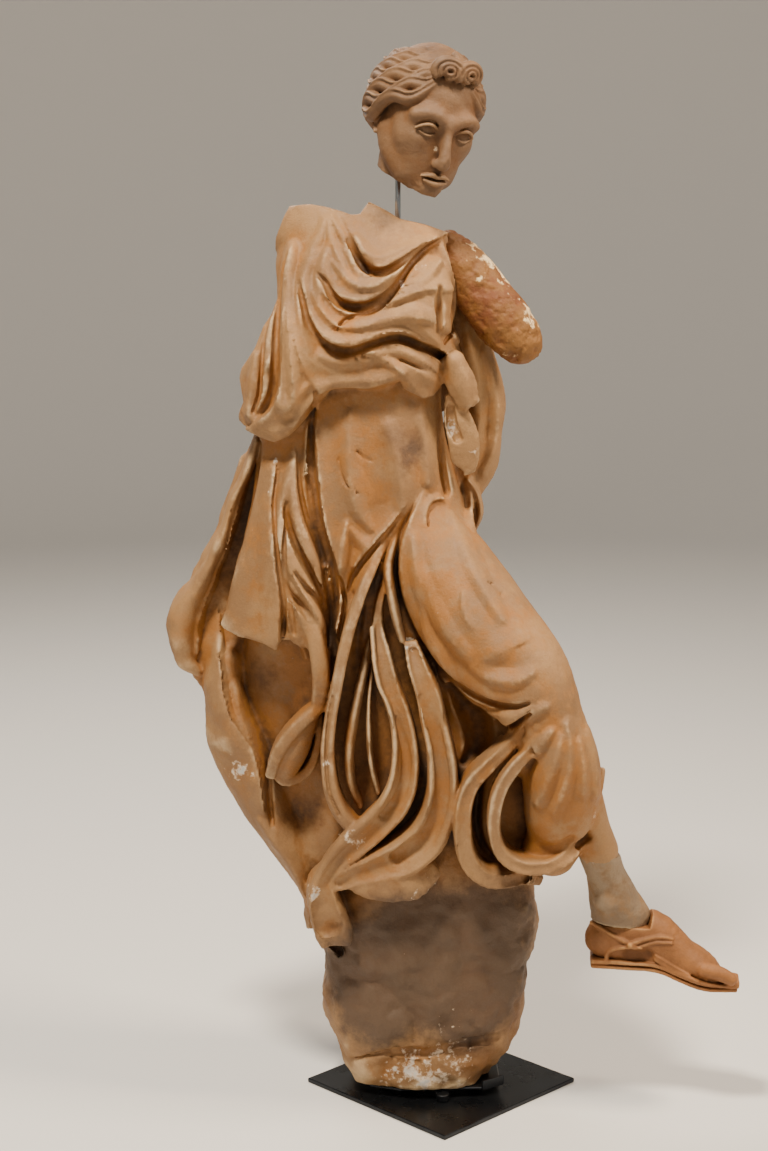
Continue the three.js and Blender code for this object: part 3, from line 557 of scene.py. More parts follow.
# deep hollows between the folds: [x, y, z, half width, half depth]
hollows = {
    "loopInside": [[-120, -110, 865, 7, 30], [-134, -110, 815, 12, 44], [-140, -106, 760, 15, 48],
                   [-140, -104, 700, 22, 48], [-134, -104, 640, 32, 48],
                   [-130, -104, 585, 34, 48], [-132, -106, 540, 26, 44],
                   [-132, -110, 508, 14, 34]],
    "betweenBands": [[-88, -116, 790, 4, 30], [-70, -116, 740, 5, 44], [-55, -116, 695, 5, 52],
                     [-44, -116, 650, 6, 56], [-37, -116, 610, 6, 58], [-36, -116, 570, 6, 58],
                     [-42, -116, 530, 6, 56], [-54, -118, 502, 6, 50],
                     [-76, -124, 474, 7, 40], [-110, -126, 450, 8, 34],
                     [-150, -126, 425, 8, 30], [-178, -124, 398, 6, 24]],
    "fanDark": [[-92, -90, 935, 3, 18], [-108, -98, 895, 4, 26], [-118, -104, 855, 5, 32]],
    "farSide": [[-168, -100, 880, 4, 20], [-160, -100, 840, 5, 30], [-165, -100, 795, 6, 36],
                [-176, -100, 745, 6, 38], [-186, -100, 690, 6, 38], [-206, -104, 620, 8, 34],
                [-210, -104, 560, 8, 34]],
    "kneeHollow": [[8, -116, 706, 8, 30], [30, -112, 670, 18, 46], [52, -110, 640, 28, 50],
                   [52, -110, 604, 22, 48], [32, -110, 578, 9, 36]],
    "bellGap": [[112, -160, 618, 5, 36], [82, -150, 582, 8, 48], [60, -144, 548, 9, 54],
                [53, -140, 505, 10, 56], [54, -140, 465, 11, 56], [70, -140, 430, 10, 52],
                [96, -140, 413, 7, 44], [128, -140, 412, 6, 36]],
    "bellBowl": [[134, -205, 606, 8, 22], [118, -200, 570, 15, 36], [112, -194, 530, 18, 40],
                 [116, -190, 492, 20, 40], [138, -192, 462, 18, 32], [172, -194, 462, 12, 20],
                 [198, -190, 478, 9, 12]],
    "flyingTrough": [[-296, -30, 1085, 5, 24], [-306, -30, 1020, 8, 34], [-324, -34, 950, 9, 40],
                     [-344, -38, 885, 11, 46], [-366, -40, 825, 14, 50],
                     [-382, -38, 775, 15, 50], [-386, -34, 728, 11, 40]],
    "leftGroove": [[-286, -66, 600, 4, 24], [-285, -66, 550, 6, 28], [-284, -64, 500, 6, 26],
                   [-280, -56, 465, 4, 18]],
    "strandHollow": [[-184, -136, 388, 6, 14], [-182, -136, 352, 8, 18]],
    "darkNiche": [[-156, -132, 390, 6, 18], [-153, -130, 350, 9, 22], [-150, -120, 318, 6, 16]],
    "wall": [[-232, -100, 640, 8, 14], [-226, -96, 560, 30, 26], [-218, -92, 500, 38, 26],
             [-212, -90, 445, 34, 26], [-206, -86, 400, 16, 20]],
    "underHem": [[-300, -96, 1106, 14, 16], [-262, -112, 1090, 16, 18], [-232, -112, 1106, 14, 20],
                 [-204, -112, 1146, 12, 20], [-178, -112, 1168, 12, 18],
                 [-120, -112, 1170, 11, 16], [-76, -108, 1180, 11, 16],
                 [-58, -106, 1158, 11, 16], [-28, -98, 1150, 11, 18], [2, -86, 1168, 8, 18]],
    "rightGap": [[26, -40, 1296, 5, 26], [36, -34, 1240, 7, 30], [52, -26, 1180, 5, 24]],
    "besideWaist": [[0, -54, 1160, 7, 26], [-4, -54, 1100, 8, 30], [-2, -50, 1050, 8, 28],
                    [4, -44, 1010, 7, 20]],
    "underCalf": [[40, -130, 384, 12, 20], [90, -130, 366, 16, 22], [140, -120, 366, 12, 18]],
}
# folds that lap over the cloth on the right hand of their line: [x, z, half width, height]
laps = {
    "collar": [[-150, 1420, 5, 5], [-136, 1396, 9, 9], [-121, 1374, 11, 13],
               [-104, 1369, 12, 14], [-84, 1376, 11, 13], [-60, 1390, 9, 10],
               [-34, 1405, 6, 6]],
    "breastSwag": [[-200, 1362, 5, 4], [-184, 1350, 8, 8], [-170, 1330, 11, 12],
                   [-154, 1320, 13, 15], [-134, 1318, 14, 16], [-114, 1323, 14, 16],
                   [-97, 1333, 13, 14], [-80, 1350, 11, 12], [-65, 1370, 9, 10],
                   [-50, 1386, 8, 9], [-32, 1401, 7, 8], [-8, 1412, 5, 5]],
    "waistSwag": [[-226, 1345, 5, 5], [-216, 1314, 8, 10], [-206, 1286, 11, 13],
                  [-190, 1265, 13, 15], [-170, 1253, 14, 16], [-150, 1250, 14, 16],
                  [-125, 1257, 13, 15], [-98, 1265, 12, 14], [-75, 1268, 12, 13],
                  [-58, 1264, 12, 13], [-38, 1254, 11, 12], [-18, 1244, 10, 12],
                  [2, 1230, 10, 12], [18, 1210, 10, 12], [30, 1188, 9, 10], [38, 1166, 7, 8]],
    "bellyEdge": [[-198, 1178, 5, 5], [-204, 1130, 8, 9], [-204, 1080, 10, 11],
                  [-199, 1030, 11, 12], [-193, 980, 11, 13], [-182, 935, 11, 13],
                  [-172, 900, 11, 14], [-167, 860, 10, 14], [-168, 820, 9, 13],
                  [-177, 785, 8, 11], [-184, 755, 5, 6]],
    "sideRidge": [[-245, 1388, 4, 4], [-252, 1352, 7, 8], [-255, 1312, 9, 12],
                  [-256, 1262, 11, 14], [-257, 1212, 12, 15], [-262, 1170, 13, 15],
                  [-278, 1142, 12, 12], [-296, 1128, 9, 8]],
    "thinSide": [[-268, 1305, 4, 5], [-280, 1262, 6, 9], [-284, 1215, 6, 10],
                 [-288, 1170, 6, 9], [-298, 1140, 6, 6]],
    "thighHem": [[-44, 1000, 4, 4], [-60, 965, 7, 7], [-70, 930, 9, 10], [-72, 895, 10, 12],
                 [-68, 860, 11, 13], [-58, 826, 11, 13], [-44, 795, 11, 13], [-26, 768, 11, 13],
                 [-4, 744, 11, 13], [22, 726, 11, 13], [50, 712, 11, 13], [78, 705, 10, 12],
                 [104, 704, 8, 8], [125, 708, 5, 4]],
    "thighSwag": [[-14, 742, 4, 4], [-4, 718, 8, 9], [14, 700, 10, 12], [36, 684, 11, 13],
                  [58, 670, 11, 13], [80, 661, 11, 13], [98, 666, 10, 12], [114, 682, 8, 9],
                  [128, 694, 5, 5]],
    "fanOne": [[-158, 858, 5, 5], [-150, 888, 8, 8], [-130, 918, 8, 8], [-102, 948, 7, 7],
               [-74, 982, 4, 4]],
}
# the same, lapping over on the left hand of their line
leftLaps = {
    "breastEdge": [[-4, 1404, 5, 5], [8, 1368, 7, 9], [17, 1330, 8, 11], [14, 1292, 8, 11],
                   [2, 1264, 7, 8], [-8, 1250, 5, 5]],
    "farCrestOne": [[-236, 1075, 4, 4], [-234, 1022, 6, 8], [-226, 980, 7, 10],
                    [-214, 944, 8, 11], [-201, 908, 8, 11], [-195, 880, 6, 7]],
    "farCrestTwo": [[-256, 990, 5, 5], [-250, 955, 8, 9], [-238, 925, 10, 11],
                    [-224, 895, 10, 11], [-210, 868, 9, 11], [-200, 845, 7, 7]],
    "farCrestThree": [[-268, 905, 4, 4], [-262, 880, 6, 7], [-250, 855, 8, 10],
                      [-234, 835, 9, 11], [-218, 812, 9, 11], [-205, 788, 9, 11],
                      [-198, 760, 8, 9]],
    "farCrestFour": [[-240, 890, 5, 5], [-226, 865, 8, 10], [-210, 842, 10, 13],
                     [-197, 815, 11, 14], [-190, 785, 11, 15], [-185, 748, 11, 15],
                     [-185, 712, 11, 15], [-190, 684, 9, 10]],
    "recessRim": [[-366, 800, 4, 5], [-364, 745, 8, 10], [-358, 700, 9, 14], [-348, 655, 10, 17],
                  [-328, 620, 10, 18], [-308, 588, 9, 17], [-298, 545, 8, 14],
                  [-292, 500, 6, 8]],
    "flyingInner": [[-304, 1075, 3, 4], [-322, 1010, 6, 9], [-346, 930, 8, 12],
                    [-372, 860, 9, 13], [-396, 795, 9, 12], [-404, 740, 6, 8]],
    "slabEdge": [[-268, 1050, 4, 4], [-274, 1000, 5, 5], [-272, 950, 6, 7], [-268, 900, 7, 9],
                 [-262, 850, 8, 10], [-262, 810, 8, 10], [-264, 780, 6, 8]],
}
softLaps = {
    "kneeFold": [[26, 742, 8, 4], [50, 762, 12, 8], [78, 778, 12, 8], [98, 786, 8, 4]],
    "thighSwell": [[-30, 930, 10, 4], [-14, 870, 16, 7], [10, 812, 18, 8], [44, 764, 14, 6]],
    "hipSwell": [[-180, 1060, 8, 4], [-176, 990, 14, 8], [-160, 930, 12, 8]],
    "lowSwag": [[-243, 1345, 5, 5], [-240, 1312, 8, 8], [-234, 1272, 10, 10],
                [-224, 1242, 12, 11], [-208, 1222, 13, 11], [-188, 1212, 12, 9],
                [-166, 1206, 10, 7], [-146, 1203, 7, 4]],
    "lowHem": [[-86, 1250, 5, 4], [-66, 1230, 8, 7], [-44, 1206, 9, 8], [-20, 1192, 7, 5]],
    "hemRoll": [[-304, 1128, 6, 6], [-272, 1112, 10, 10], [-242, 1124, 11, 11],
                [-216, 1152, 11, 10], [-190, 1184, 9, 8], [-150, 1192, 8, 7],
                [-110, 1192, 8, 7], [-76, 1200, 7, 7]],
}
# plain folds on the skin: [x, z, half width, half height]
folds = {
    "broochFoldOne": [[-190, 1440, 4, 4], [-196, 1415, 6, 5], [-206, 1385, 6, 4]],
    "broochFoldTwo": [[-184, 1440, 4, 4], [-180, 1412, 6, 6], [-166, 1380, 7, 6],
                      [-150, 1350, 6, 5], [-138, 1330, 4, 4]],
    "broochFoldThree": [[-178, 1442, 4, 4], [-164, 1418, 6, 6], [-150, 1396, 5, 5]],
    "vFlap": [[-140, 1412, 4, 4], [-126, 1390, 6, 7], [-108, 1378, 6, 7], [-84, 1388, 5, 6],
              [-58, 1400, 4, 4]],
    "armholeEdge": [[-243, 1400, 6, 6], [-252, 1352, 8, 10], [-258, 1312, 6, 7]],
    "chestFoldOne": [[-196, 1424, 4, 3], [-214, 1380, 8, 7], [-226, 1330, 9, 9],
                     [-226, 1280, 9, 8], [-214, 1240, 7, 5]],
    "chestFoldTwo": [[-176, 1420, 4, 3], [-188, 1385, 7, 6], [-198, 1350, 8, 7],
                     [-196, 1310, 7, 6], [-182, 1282, 5, 4]],
    "chestFoldThree": [[-150, 1400, 4, 3], [-146, 1372, 6, 6], [-128, 1350, 7, 7],
                       [-104, 1350, 6, 6], [-86, 1364, 4, 4]],
    "breastFoldOne": [[-96, 1312, 4, 4], [-64, 1322, 6, 6], [-34, 1346, 6, 6],
                      [-10, 1376, 5, 4]],
    "breastFoldTwo": [[-128, 1282, 4, 4], [-90, 1290, 6, 6], [-52, 1300, 6, 6],
                      [-22, 1290, 5, 5], [0, 1270, 4, 4]],
    "hemFoldOne": [[-196, 1232, 6, 5], [-158, 1222, 8, 7], [-116, 1226, 7, 6],
                   [-84, 1236, 5, 4]],
    "hemFoldTwo": [[-268, 1180, 5, 5], [-250, 1150, 8, 8], [-226, 1176, 7, 7],
                   [-200, 1200, 5, 5]],
    "sideFoldOne": [[-300, 1230, 4, 4], [-306, 1180, 7, 8], [-312, 1136, 6, 6]],
    "panelFoldOne": [[34, 1272, 5, 4], [46, 1220, 8, 9], [56, 1160, 10, 11], [54, 1100, 9, 10],
                     [46, 1052, 6, 6]],
    "panelFoldTwo": [[62, 1232, 5, 4], [78, 1186, 7, 8], [86, 1130, 8, 9], [82, 1076, 6, 7],
                     [64, 1034, 5, 4]],
    "panelFoldThree": [[40, 1020, 5, 5], [46, 980, 7, 7], [36, 940, 6, 6]],
    "bellyFoldTwo": [[-150, 1140, 7, 3], [-152, 1090, 10, 6], [-150, 1040, 10, 6],
                     [-140, 990, 8, 5], [-120, 960, 5, 3]],
    "bellyFoldThree": [[-40, 1130, 6, 3], [-30, 1080, 8, 5], [-28, 1030, 7, 4]],
    "groinOne": [[-150, 960, 5, 4], [-128, 930, 8, 8], [-104, 905, 8, 8], [-90, 880, 5, 5]],
    "thighFoldOne": [[10, 980, 6, 3], [30, 930, 9, 5], [54, 880, 9, 6], [84, 832, 7, 4]],
    "thighFoldTwo": [[-52, 948, 5, 3], [-48, 900, 7, 6], [-36, 856, 8, 7], [-14, 812, 8, 7],
                     [14, 780, 7, 6], [40, 758, 5, 4]],
    "thighFoldThree": [[40, 752, 6, 4], [70, 740, 9, 7], [100, 738, 9, 7], [130, 750, 6, 4]],
    "shinFoldTwo": [[186, 670, 6, 4], [190, 620, 8, 6], [182, 570, 8, 6], [168, 528, 6, 4]],
    "shinFoldThree": [[222, 650, 5, 3], [234, 600, 7, 5], [236, 552, 7, 5]],
    "slabFoldTwo": [[-242, 1060, 4, 4], [-256, 1010, 6, 7], [-264, 950, 6, 7],
                    [-262, 900, 5, 5]],
    "lowLeftOne": [[-340, 690, 5, 4], [-330, 640, 8, 8], [-306, 590, 8, 8], [-286, 540, 6, 5]],
    "lowLeftTwo": [[-300, 470, 5, 4], [-272, 430, 8, 8], [-246, 390, 8, 8], [-228, 340, 5, 5]],
    "swagBranch": [[-74, 1256, 4, 4], [-62, 1258, 5, 6], [-48, 1250, 4, 4]],
    "breastCrease": [[-66, 1288, 3, 3], [-40, 1272, 4, 5], [-12, 1250, 4, 4]],
    "bellyBranch": [[-156, 968, 4, 4], [-163, 935, 7, 7], [-168, 900, 6, 7]],
    "slabFold": [[-250, 830, 4, 5], [-240, 800, 6, 8], [-230, 770, 6, 8], [-222, 745, 4, 5]],
    "fanTwo": [[-70, 985, 5, 5], [-98, 944, 8, 9], [-122, 902, 9, 11], [-138, 862, 7, 9]],
    "fanThree": [[-66, 988, 4, 4], [-92, 958, 6, 6], [-118, 930, 6, 7], [-140, 900, 5, 6]],
    "kneeRayOne": [[150, 676, 5, 5], [124, 654, 8, 10], [100, 630, 9, 13], [78, 606, 7, 10]],
    "kneeRayTwo": [[160, 660, 5, 5], [140, 636, 8, 9], [122, 606, 8, 10], [112, 575, 6, 6]],
    "kneeRayThree": [[150, 700, 6, 5], [122, 688, 9, 9], [96, 682, 9, 10], [70, 680, 6, 7]],
    "shinRay": [[178, 650, 6, 4], [168, 615, 9, 7], [154, 575, 9, 7], [142, 540, 6, 4]],
    "thighRay": [[-40, 900, 6, 4], [-26, 850, 9, 7], [-2, 806, 10, 8], [30, 770, 8, 6]],
    "bellyFold": [[-92, 1120, 8, 4], [-78, 1070, 12, 7], [-70, 1020, 12, 7], [-66, 985, 8, 5]],
    "flyingFold": [[-330, 1060, 5, 5], [-352, 990, 8, 9], [-384, 900, 10, 11],
                   [-412, 830, 10, 11], [-420, 770, 8, 8]],
    "hipRim": [[-34, 960, 3, 3], [-32, 985, 4, 4], [-20, 1002, 4, 4], [-2, 1002, 3, 3]],
    "thighCrease": [[25, 868, 3, 2], [27, 840, 4, 3], [38, 816, 3, 2]],
    "shinFold": [[206, 640, 6, 4], [214, 600, 8, 6], [214, 560, 7, 5]],
}
# gaps left in the edges once the bands are on: [x, y, z, half width, half depth]
notches = {
    "hemGap": [[8, -70, 1140, 7, 22], [12, -66, 1116, 9, 22], [20, -62, 1096, 7, 18]],
    "hemCleft": [[54, -56, 1134, 7, 22], [42, -54, 1142, 5, 20]],
    "hemEnd": [[12, -50, 1046, 9, 22], [24, -48, 1040, 6, 20]],
    "bandEnd": [[214, -170, 462, 8, 24], [226, -160, 474, 9, 20]],
}
# thin grooves in the skin: [x, z, half width, half depth]
grooves = {
    "creaseOne": [[-174, 1272, 2.5, 4], [-152, 1290, 4, 8], [-130, 1296, 4, 9],
                  [-110, 1302, 4, 9], [-92, 1316, 4, 8], [-80, 1330, 2.5, 4]],
    "collarTrough": [[-154, 1408, 3, 5], [-140, 1382, 5, 9], [-124, 1360, 6, 10]],
    "breastHollow": [[-10, 1336, 5, 6], [-13, 1305, 8, 11], [-12, 1270, 6, 9]],
    "hemCrease": [[-72, 1226, 3, 4], [-50, 1216, 3, 5], [-28, 1206, 3, 3]],
    "farValley": [[-216, 1070, 4, 5], [-214, 1010, 8, 10], [-206, 960, 8, 11],
                  [-192, 900, 6, 10]],
    "slabGroove": [[-250, 1000, 3, 3], [-254, 940, 4, 6], [-252, 880, 5, 8],
                   [-244, 830, 5, 9], [-240, 790, 5, 9]],
    "innerShadow": [[-190, 890, 4, 8], [-184, 840, 6, 12], [-182, 800, 5, 12],
                    [-186, 765, 4, 9]],
    "loopSplit": [[-178, 700, 2, 4], [-186, 650, 2.5, 6], [-189, 600, 2.5, 6],
                  [-184, 545, 2.5, 6], [-168, 505, 2.5, 5]],
    "bellyLineOne": [[-168, 1070, 1.5, 2], [-166, 1050, 2, 3], [-156, 1030, 2, 3],
                     [-138, 1015, 1.5, 2]],
    "bellyLineTwo": [[-140, 1082, 1.5, 2], [-130, 1072, 2, 3], [-116, 1066, 1.5, 2]],
    "hipGroove": [[-28, 956, 2, 3], [-26, 984, 2.5, 4], [-14, 998, 2.5, 4], [4, 996, 2, 3]],
    "thighCrackOne": [[82, 858, 1.5, 2], [92, 868, 2, 3], [102, 867, 2, 3], [112, 857, 1.5, 2]],
    "thighCrackTwo": [[56, 884, 1.5, 2], [70, 878, 2, 3], [82, 884, 1.5, 2]],
    "ledge": [[-155, 60, 6, 7], [-100, 84, 7, 8], [-30, 84, 7, 8], [20, 101, 7, 8],
              [95, 100, 6, 7]],
    "rockCleft": [[-205, 262, 5, 8], [-186, 262, 7, 9], [-168, 250, 5, 7]],
    "ribbonDish": [[-40, 700, 8, 3], [-16, 640, 11, 5], [-6, 580, 12, 6], [-8, 520, 13, 7],
                   [-34, 466, 15, 8], [-80, 434, 14, 8]],
    "bandDish": [[-78, 660, 6, 3], [-62, 600, 8, 4], [-68, 545, 9, 5], [-100, 500, 9, 5]],
}
# left laps that lie too steeply for an undercut, and bands with a hollow face
notUndercut = ("recessRim", "flyingInner")
dished = ("ribbon", "loopRight", "calfBand", "bellRim")
# long folds down the back, from the first [x, z] to the last in each row
backFolds = {"count": 9, "width": 11, "height": 10, "from": [[-252, 1390], [30, 1370]],
             "middle": [[-290, 1250], [60, 1250]], "to": [[-316, 1130], [20, 1150]]}
skirtBack = {"count": 11, "width": 13, "height": 12, "from": [[-240, 1100], [0, 1100]],
             "middle": [[-330, 780], [70, 780]], "to": [[-260, 440], [110, 430]]}


# the broken top, from the arm stump over the neck to the other shoulder: [x, z]
brokenTop = [[-320, 1396], [-268, 1416], [-258, 1438], [-246, 1460], [-214, 1463],
             [-187, 1458], [-166, 1452], [-150, 1446], [-135, 1447], [-121, 1467],
             [-95, 1454], [-72, 1440], [-32, 1431], [8, 1418], [34, 1412], [90, 1396]]
# the cloth's edge over the missing arm: [z, x]
sideEdge = [[1060, -460], [1078, -313], [1094, -321], [1113, -330], [1130, -329], [1154, -319],
            [1189, -327], [1205, -323], [1242, -299], [1273, -287], [1294, -273],
            [1316, -265], [1357, -267], [1384, -270], [1410, -268], [1480, -240]]
# smaller folds gathered between two of the lines above: how many, and their share of height
gathers = [
    ("collar", "breastSwag", 2, 0.7), ("breastSwag", "waistSwag", 2, 0.7),
    ("waistSwag", "lowSwag", 1, 0.8), ("sideRidge", "lowSwag", 2, 0.9),
    ("bellyEdge", "farCrestOne", 1, 0.8), ("farCrestOne", "farCrestTwo", 1, 0.8),
    ("farCrestTwo", "farCrestThree", 1, 0.9), ("fanOne", "fanTwo", 2, 0.9),
    ("slabEdge", "farCrestThree", 2, 0.7), ("waistSwag", "lowHem", 2, 0.6),
    ("armholeEdge", "sideRidge", 1, 0.8), ("thighHem", "thighSwag", 1, 0.7),
]


def foldsBetween(first, second, count, share):
    lines = []
    for stations in (first, second):
        rows = np.array(stations, float)
        at = np.linspace(0, len(rows) - 1, 9)
        lines.append(np.stack([np.interp(at, range(len(rows)), rows[:, n])
                               for n in range(4)], 1))
    for i in range(count):
        t = (i + 1) / (count + 1)
        yield (lines[0] * (1 - t) + lines[1] * t) * [1, 1, 0.8, share]


def lineHeight(line, xs):
    points = np.array(line, float)
    return np.interp(xs, points[:, 0], points[:, 1])


# spread long folds evenly, each swayed and sized a little differently
def backPleats(clay, values):
    v = bodyValues
    count, width, height = values["count"], values["width"], values["height"]
    rows = zip(between(*values["from"], count), between(*values["middle"], count),
               between(*values["to"], count))
    for i, (top, middle, foot) in enumerate(rows):
        sway = v["sway"] * math.sin(i * v["swayTurn"])
        size = width * (v["leastSize"] + v["sizeSpread"] * (i * v["sizeTurn"] % 1))
        line = [[top[0], top[1], size * 0.5, height * 0.4],
                [(top[0] + middle[0]) / 2 + sway, (top[1] + middle[1]) / 2, size, height],
                [middle[0] + sway, middle[1], size, height],
                [(middle[0] + foot[0]) / 2, (middle[1] + foot[1]) / 2, size, height],
                [foot[0], foot[1], size * 0.6, height * 0.6]]
        clay.raiseCloth(line, *v["pleatRun"], hand=1 if i % 2 else -1, back=True)


def modelBody():
    v = bodyValues
    clay = Clay(v["low"], v["high"], v["voxel"])
    x, y, z = clay.axes
    across, through, up = x[:, None, None], y[None, :, None], z[None, None, :]
    for name, stations in masses.items():
        clay.add(stations, squareness.get(name, 2), v["massBlend"])
    belowBreak = lineHeight(thighBreak, x)[:, None, None] - up + through * 0
    clay.add(farThigh, 2, v["thighBlend"], clip=belowBreak.astype(np.float32))
    hem = np.where(through < 20, lineHeight(hemFront, x)[:, None, None],
                   lineHeight(hemBack, x)[:, None, None])
    clay.add(mantle, squareness["mantle"], v["mantleBlend"], clip=(hem - up).astype(np.float32))
    report("masses")
    backPleats(clay, backFolds)
    backPleats(clay, skirtBack)
    for table, hand, run, lift in ((laps, 1, "lapRun", "lapLift"),
                                   (leftLaps, -1, "leftLapRun", "lapLift"),
                                   (softLaps, 1, "softRun", "softLift")):
        for stations in table.values():
            clay.raiseCloth(stations, *v[run], hand=hand, lift=v[lift])
    clay.settle()
    for stations in folds.values():
        clay.raiseCloth(stations, *v["foldRun"], lift=v["foldLift"])
    lines = {**laps, **leftLaps, **softLaps, **folds}
    for first, second, count, share in gathers:
        for stations in foldsBetween(lines[first], lines[second], count, share):
            clay.raiseCloth(stations, *v["gatherRun"], lift=v["gatherLift"])
    clay.settle()
    for stations in laps.values():
        clay.undercut(stations, v["undercut"])
    for name, stations in leftLaps.items():
        if name not in notUndercut:
            clay.undercut(stations, v["undercut"], hand=-1)
    report("folds")
    for stations in hollows.values():
        clay.carve(stations)
    for stations in bands.values():
        clay.add(stations, v["bandPower"], v["bandBlend"])
    for name in dished:
        clay.dish(bands[name], v["dish"])
    for stations in crests.values():
        clay.add(stations, 2, v["bandBlend"])
    clay.add(legLine[:4], 2, v["bandBlend"])
    for stations in notches.values():
        clay.carve(stations, v["notchPower"], v["notchBlend"])
    for stations in grooves.values():
        clay.groove(stations)
    report("bands and hollows")
    edges = np.array(sideEdge, float)
    outside = np.interp(z, edges[:, 0], edges[:, 1])[None, None, :] - across
    aboveTop = up - lineHeight(brokenTop, x)[:, None, None]
    limit = np.maximum(np.maximum(outside, aboveTop), v["bottom"] - up)
    clay.field = np.maximum(clay.field, limit.astype(np.float32))
    verts, faces = clay.mesh()
    verts += vertexNormals(verts, faces) * weathering(verts, clay)[:, None]
    verts[:, 2] = np.maximum(verts[:, 2], v["bottom"])
    piece = makeObject("body", verts, faces)
    report(f"body mesh of {len(faces)} quads")
    thin(piece, v["triangles"])
    points = mark(piece, clay, v["wideMark"], v["fineMark"])
    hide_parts("statue_body")
    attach(piece, "root")
    report(f"body thinned to {len(piece.data.polygons)} faces")
    return piece, points


# the worn skin: a broken rock, pitted cloth, chipped edges and a ragged flying fold
def weathering(verts, clay):
    v = bodyValues
    rock = 1 / (1 + np.exp((verts[:, 2] - v["rockTop"]) / v["rockFade"]))
    rough = np.abs(noiseAt(verts, v["rockPattern"], 1, 5)) * v["rockStretch"] - v["rockSink"]
    fine = noiseAt(verts, v["pitPattern"], 2, 2)
    ragged = np.clip((v["chipEdge"] - clay.crowding(v["chipReach"], verts)) / v["chipFade"], 0, 1)
    chips = np.maximum(noiseAt(verts, v["chipPattern"], 3, 3), 0) * v["chipping"] * ragged
    flying = 1 / (1 + np.exp((verts[:, 0] - v["flutterFrom"]) / v["flutterFade"]))
    chips -= noiseAt(verts, v["flutterPattern"], 4, 2) * v["flutter"] * flying
    return (rough * (v["weathering"] + rock * v["rockRoughness"])
            + fine * (v["pitting"] + rock * v["rockPitting"]) - chips)


# the bare calf and the fragments below it, from the knee down
legLine = [[196, -136, 590, 40, 42], [216, -128, 530, 36, 40], [234, -118, 475, 33, 38],
           [248, -110, 438, 33, 37], [262, -100, 396, 32, 36], [276, -90, 352, 40, 38],
           [290, -82, 312, 50, 36]]


# The head has its own frame: the face looks along -Y and the middle of the skull is at 0.
headValues = {
    "voxel": 1.5,
    "triangles": 150000,
    "low": [-112, -135, -135], "high": [112, 118, 128],
    "place": (-36, -22, 1598), "lean": 14, "turn": 26, "bow": 8,
    "locks": 9, "lockWaves": 2.6, "knotRings": ((24, 250), (15, 300), (7, 330)),
    "hairRadii": (80, 97, 90), "hairCentre": (0, 6, 14), "backLocks": 7,
    "breakHeight": -104, "breakSlope": 6, "breakRise": 0.10,
    # how far the skin is moved and the size of the pattern that moves it, both in mm
    "ripple": 0.5, "ripplePattern": 30, "pitting": 0.25, "pitPattern": 9,
    "fracture": 3.2, "fracturePattern": 18, "fractureFade": 6,
}
# what is added or carved, its roundness, its blend and step in mm, and its stations
headMasses = [
    ("add", 2, 10, 12, [[0, 2, 16, 66, 84], [0, 12, 18, 70, 88]]),
    ("add", 2, 10, 12, [[0, 6, 30, 70, 86], [0, 12, 34, 70, 82]]),
    ("add", 2.1, 12, 12, [[0, -22, 62, 44, 52], [0, -28, 36, 60, 62], [0, -32, 10, 64, 63],
                          [0, -34, -18, 63, 60], [0, -38, -45, 56, 56], [0, -42, -70, 44, 50],
                          [0, -46, -90, 31, 43], [0, -50, -102, 20, 34]]),
    ("add", 2, 12, 12, [[0, -76, -96, 17, 17], [0, -76, -98, 16, 17]]),
    ("add", 2, 14, 12, [[0, 12, -40, 50, 54], [0, 9, -90, 47, 50], [0, 8, -140, 48, 50]]),
]
# jaw, cheek, eye socket, brow, eyeball, lids and nostril of one side
pairedForms = [
    ("add", 2, 16, 12, [[58, -2, -28, 14, 20], [52, -20, -58, 14, 20], [34, -48, -86, 12, 16]]),
    ("add", 2, 20, 12, [[36, -68, -22, 18, 16], [44, -56, -26, 16, 16]]),
    ("carve", 2, 14, 10, [[15, -104, -5, 7, 9], [30, -106, -8, 11, 14], [47, -96, -9, 8, 12]]),
    ("add", 2, 18, 12, [[8, -94, 4, 5, 6], [22, -95, 13, 7, 7], [38, -90, 15, 7, 7],
                        [53, -78, 9, 6, 6]]),
    ("add", 2, 3, 12, [[30, -76, -9, 15, 15], [31, -76, -9, 15, 15]]),
    ("add", 2, 2, 4, [[13, -88, -10, 1.6, 2.5], [21, -94, -3, 2.2, 3.4],
                      [32, -95.5, 0, 2.4, 3.6], [42, -91, -3, 2.2, 3.4],
                      [50, -83, -10, 1.6, 2.4]]),
    ("add", 2, 2, 4, [[14, -88, -11, 1.4, 2], [23, -91.5, -16, 1.8, 2.6],
                      [33, -91.5, -17, 1.9, 2.6], [44, -86, -13, 1.5, 2.2]]),
    ("carve", 2, 2, 4, [[16, -91, -1, 1, 2], [24, -96, 4, 1.4, 3], [34, -96.5, 6, 1.4, 3],
                        [46, -90, 2, 1, 2]]),
    ("add", 2, 5, 12, [[9, -99, -55, 5, 7], [9.5, -100, -56, 5.5, 7]]),
    ("carve", 2, 2, 4, [[5, -104, -63, 2.5, 4], [8, -101, -63, 3, 4]]),
]
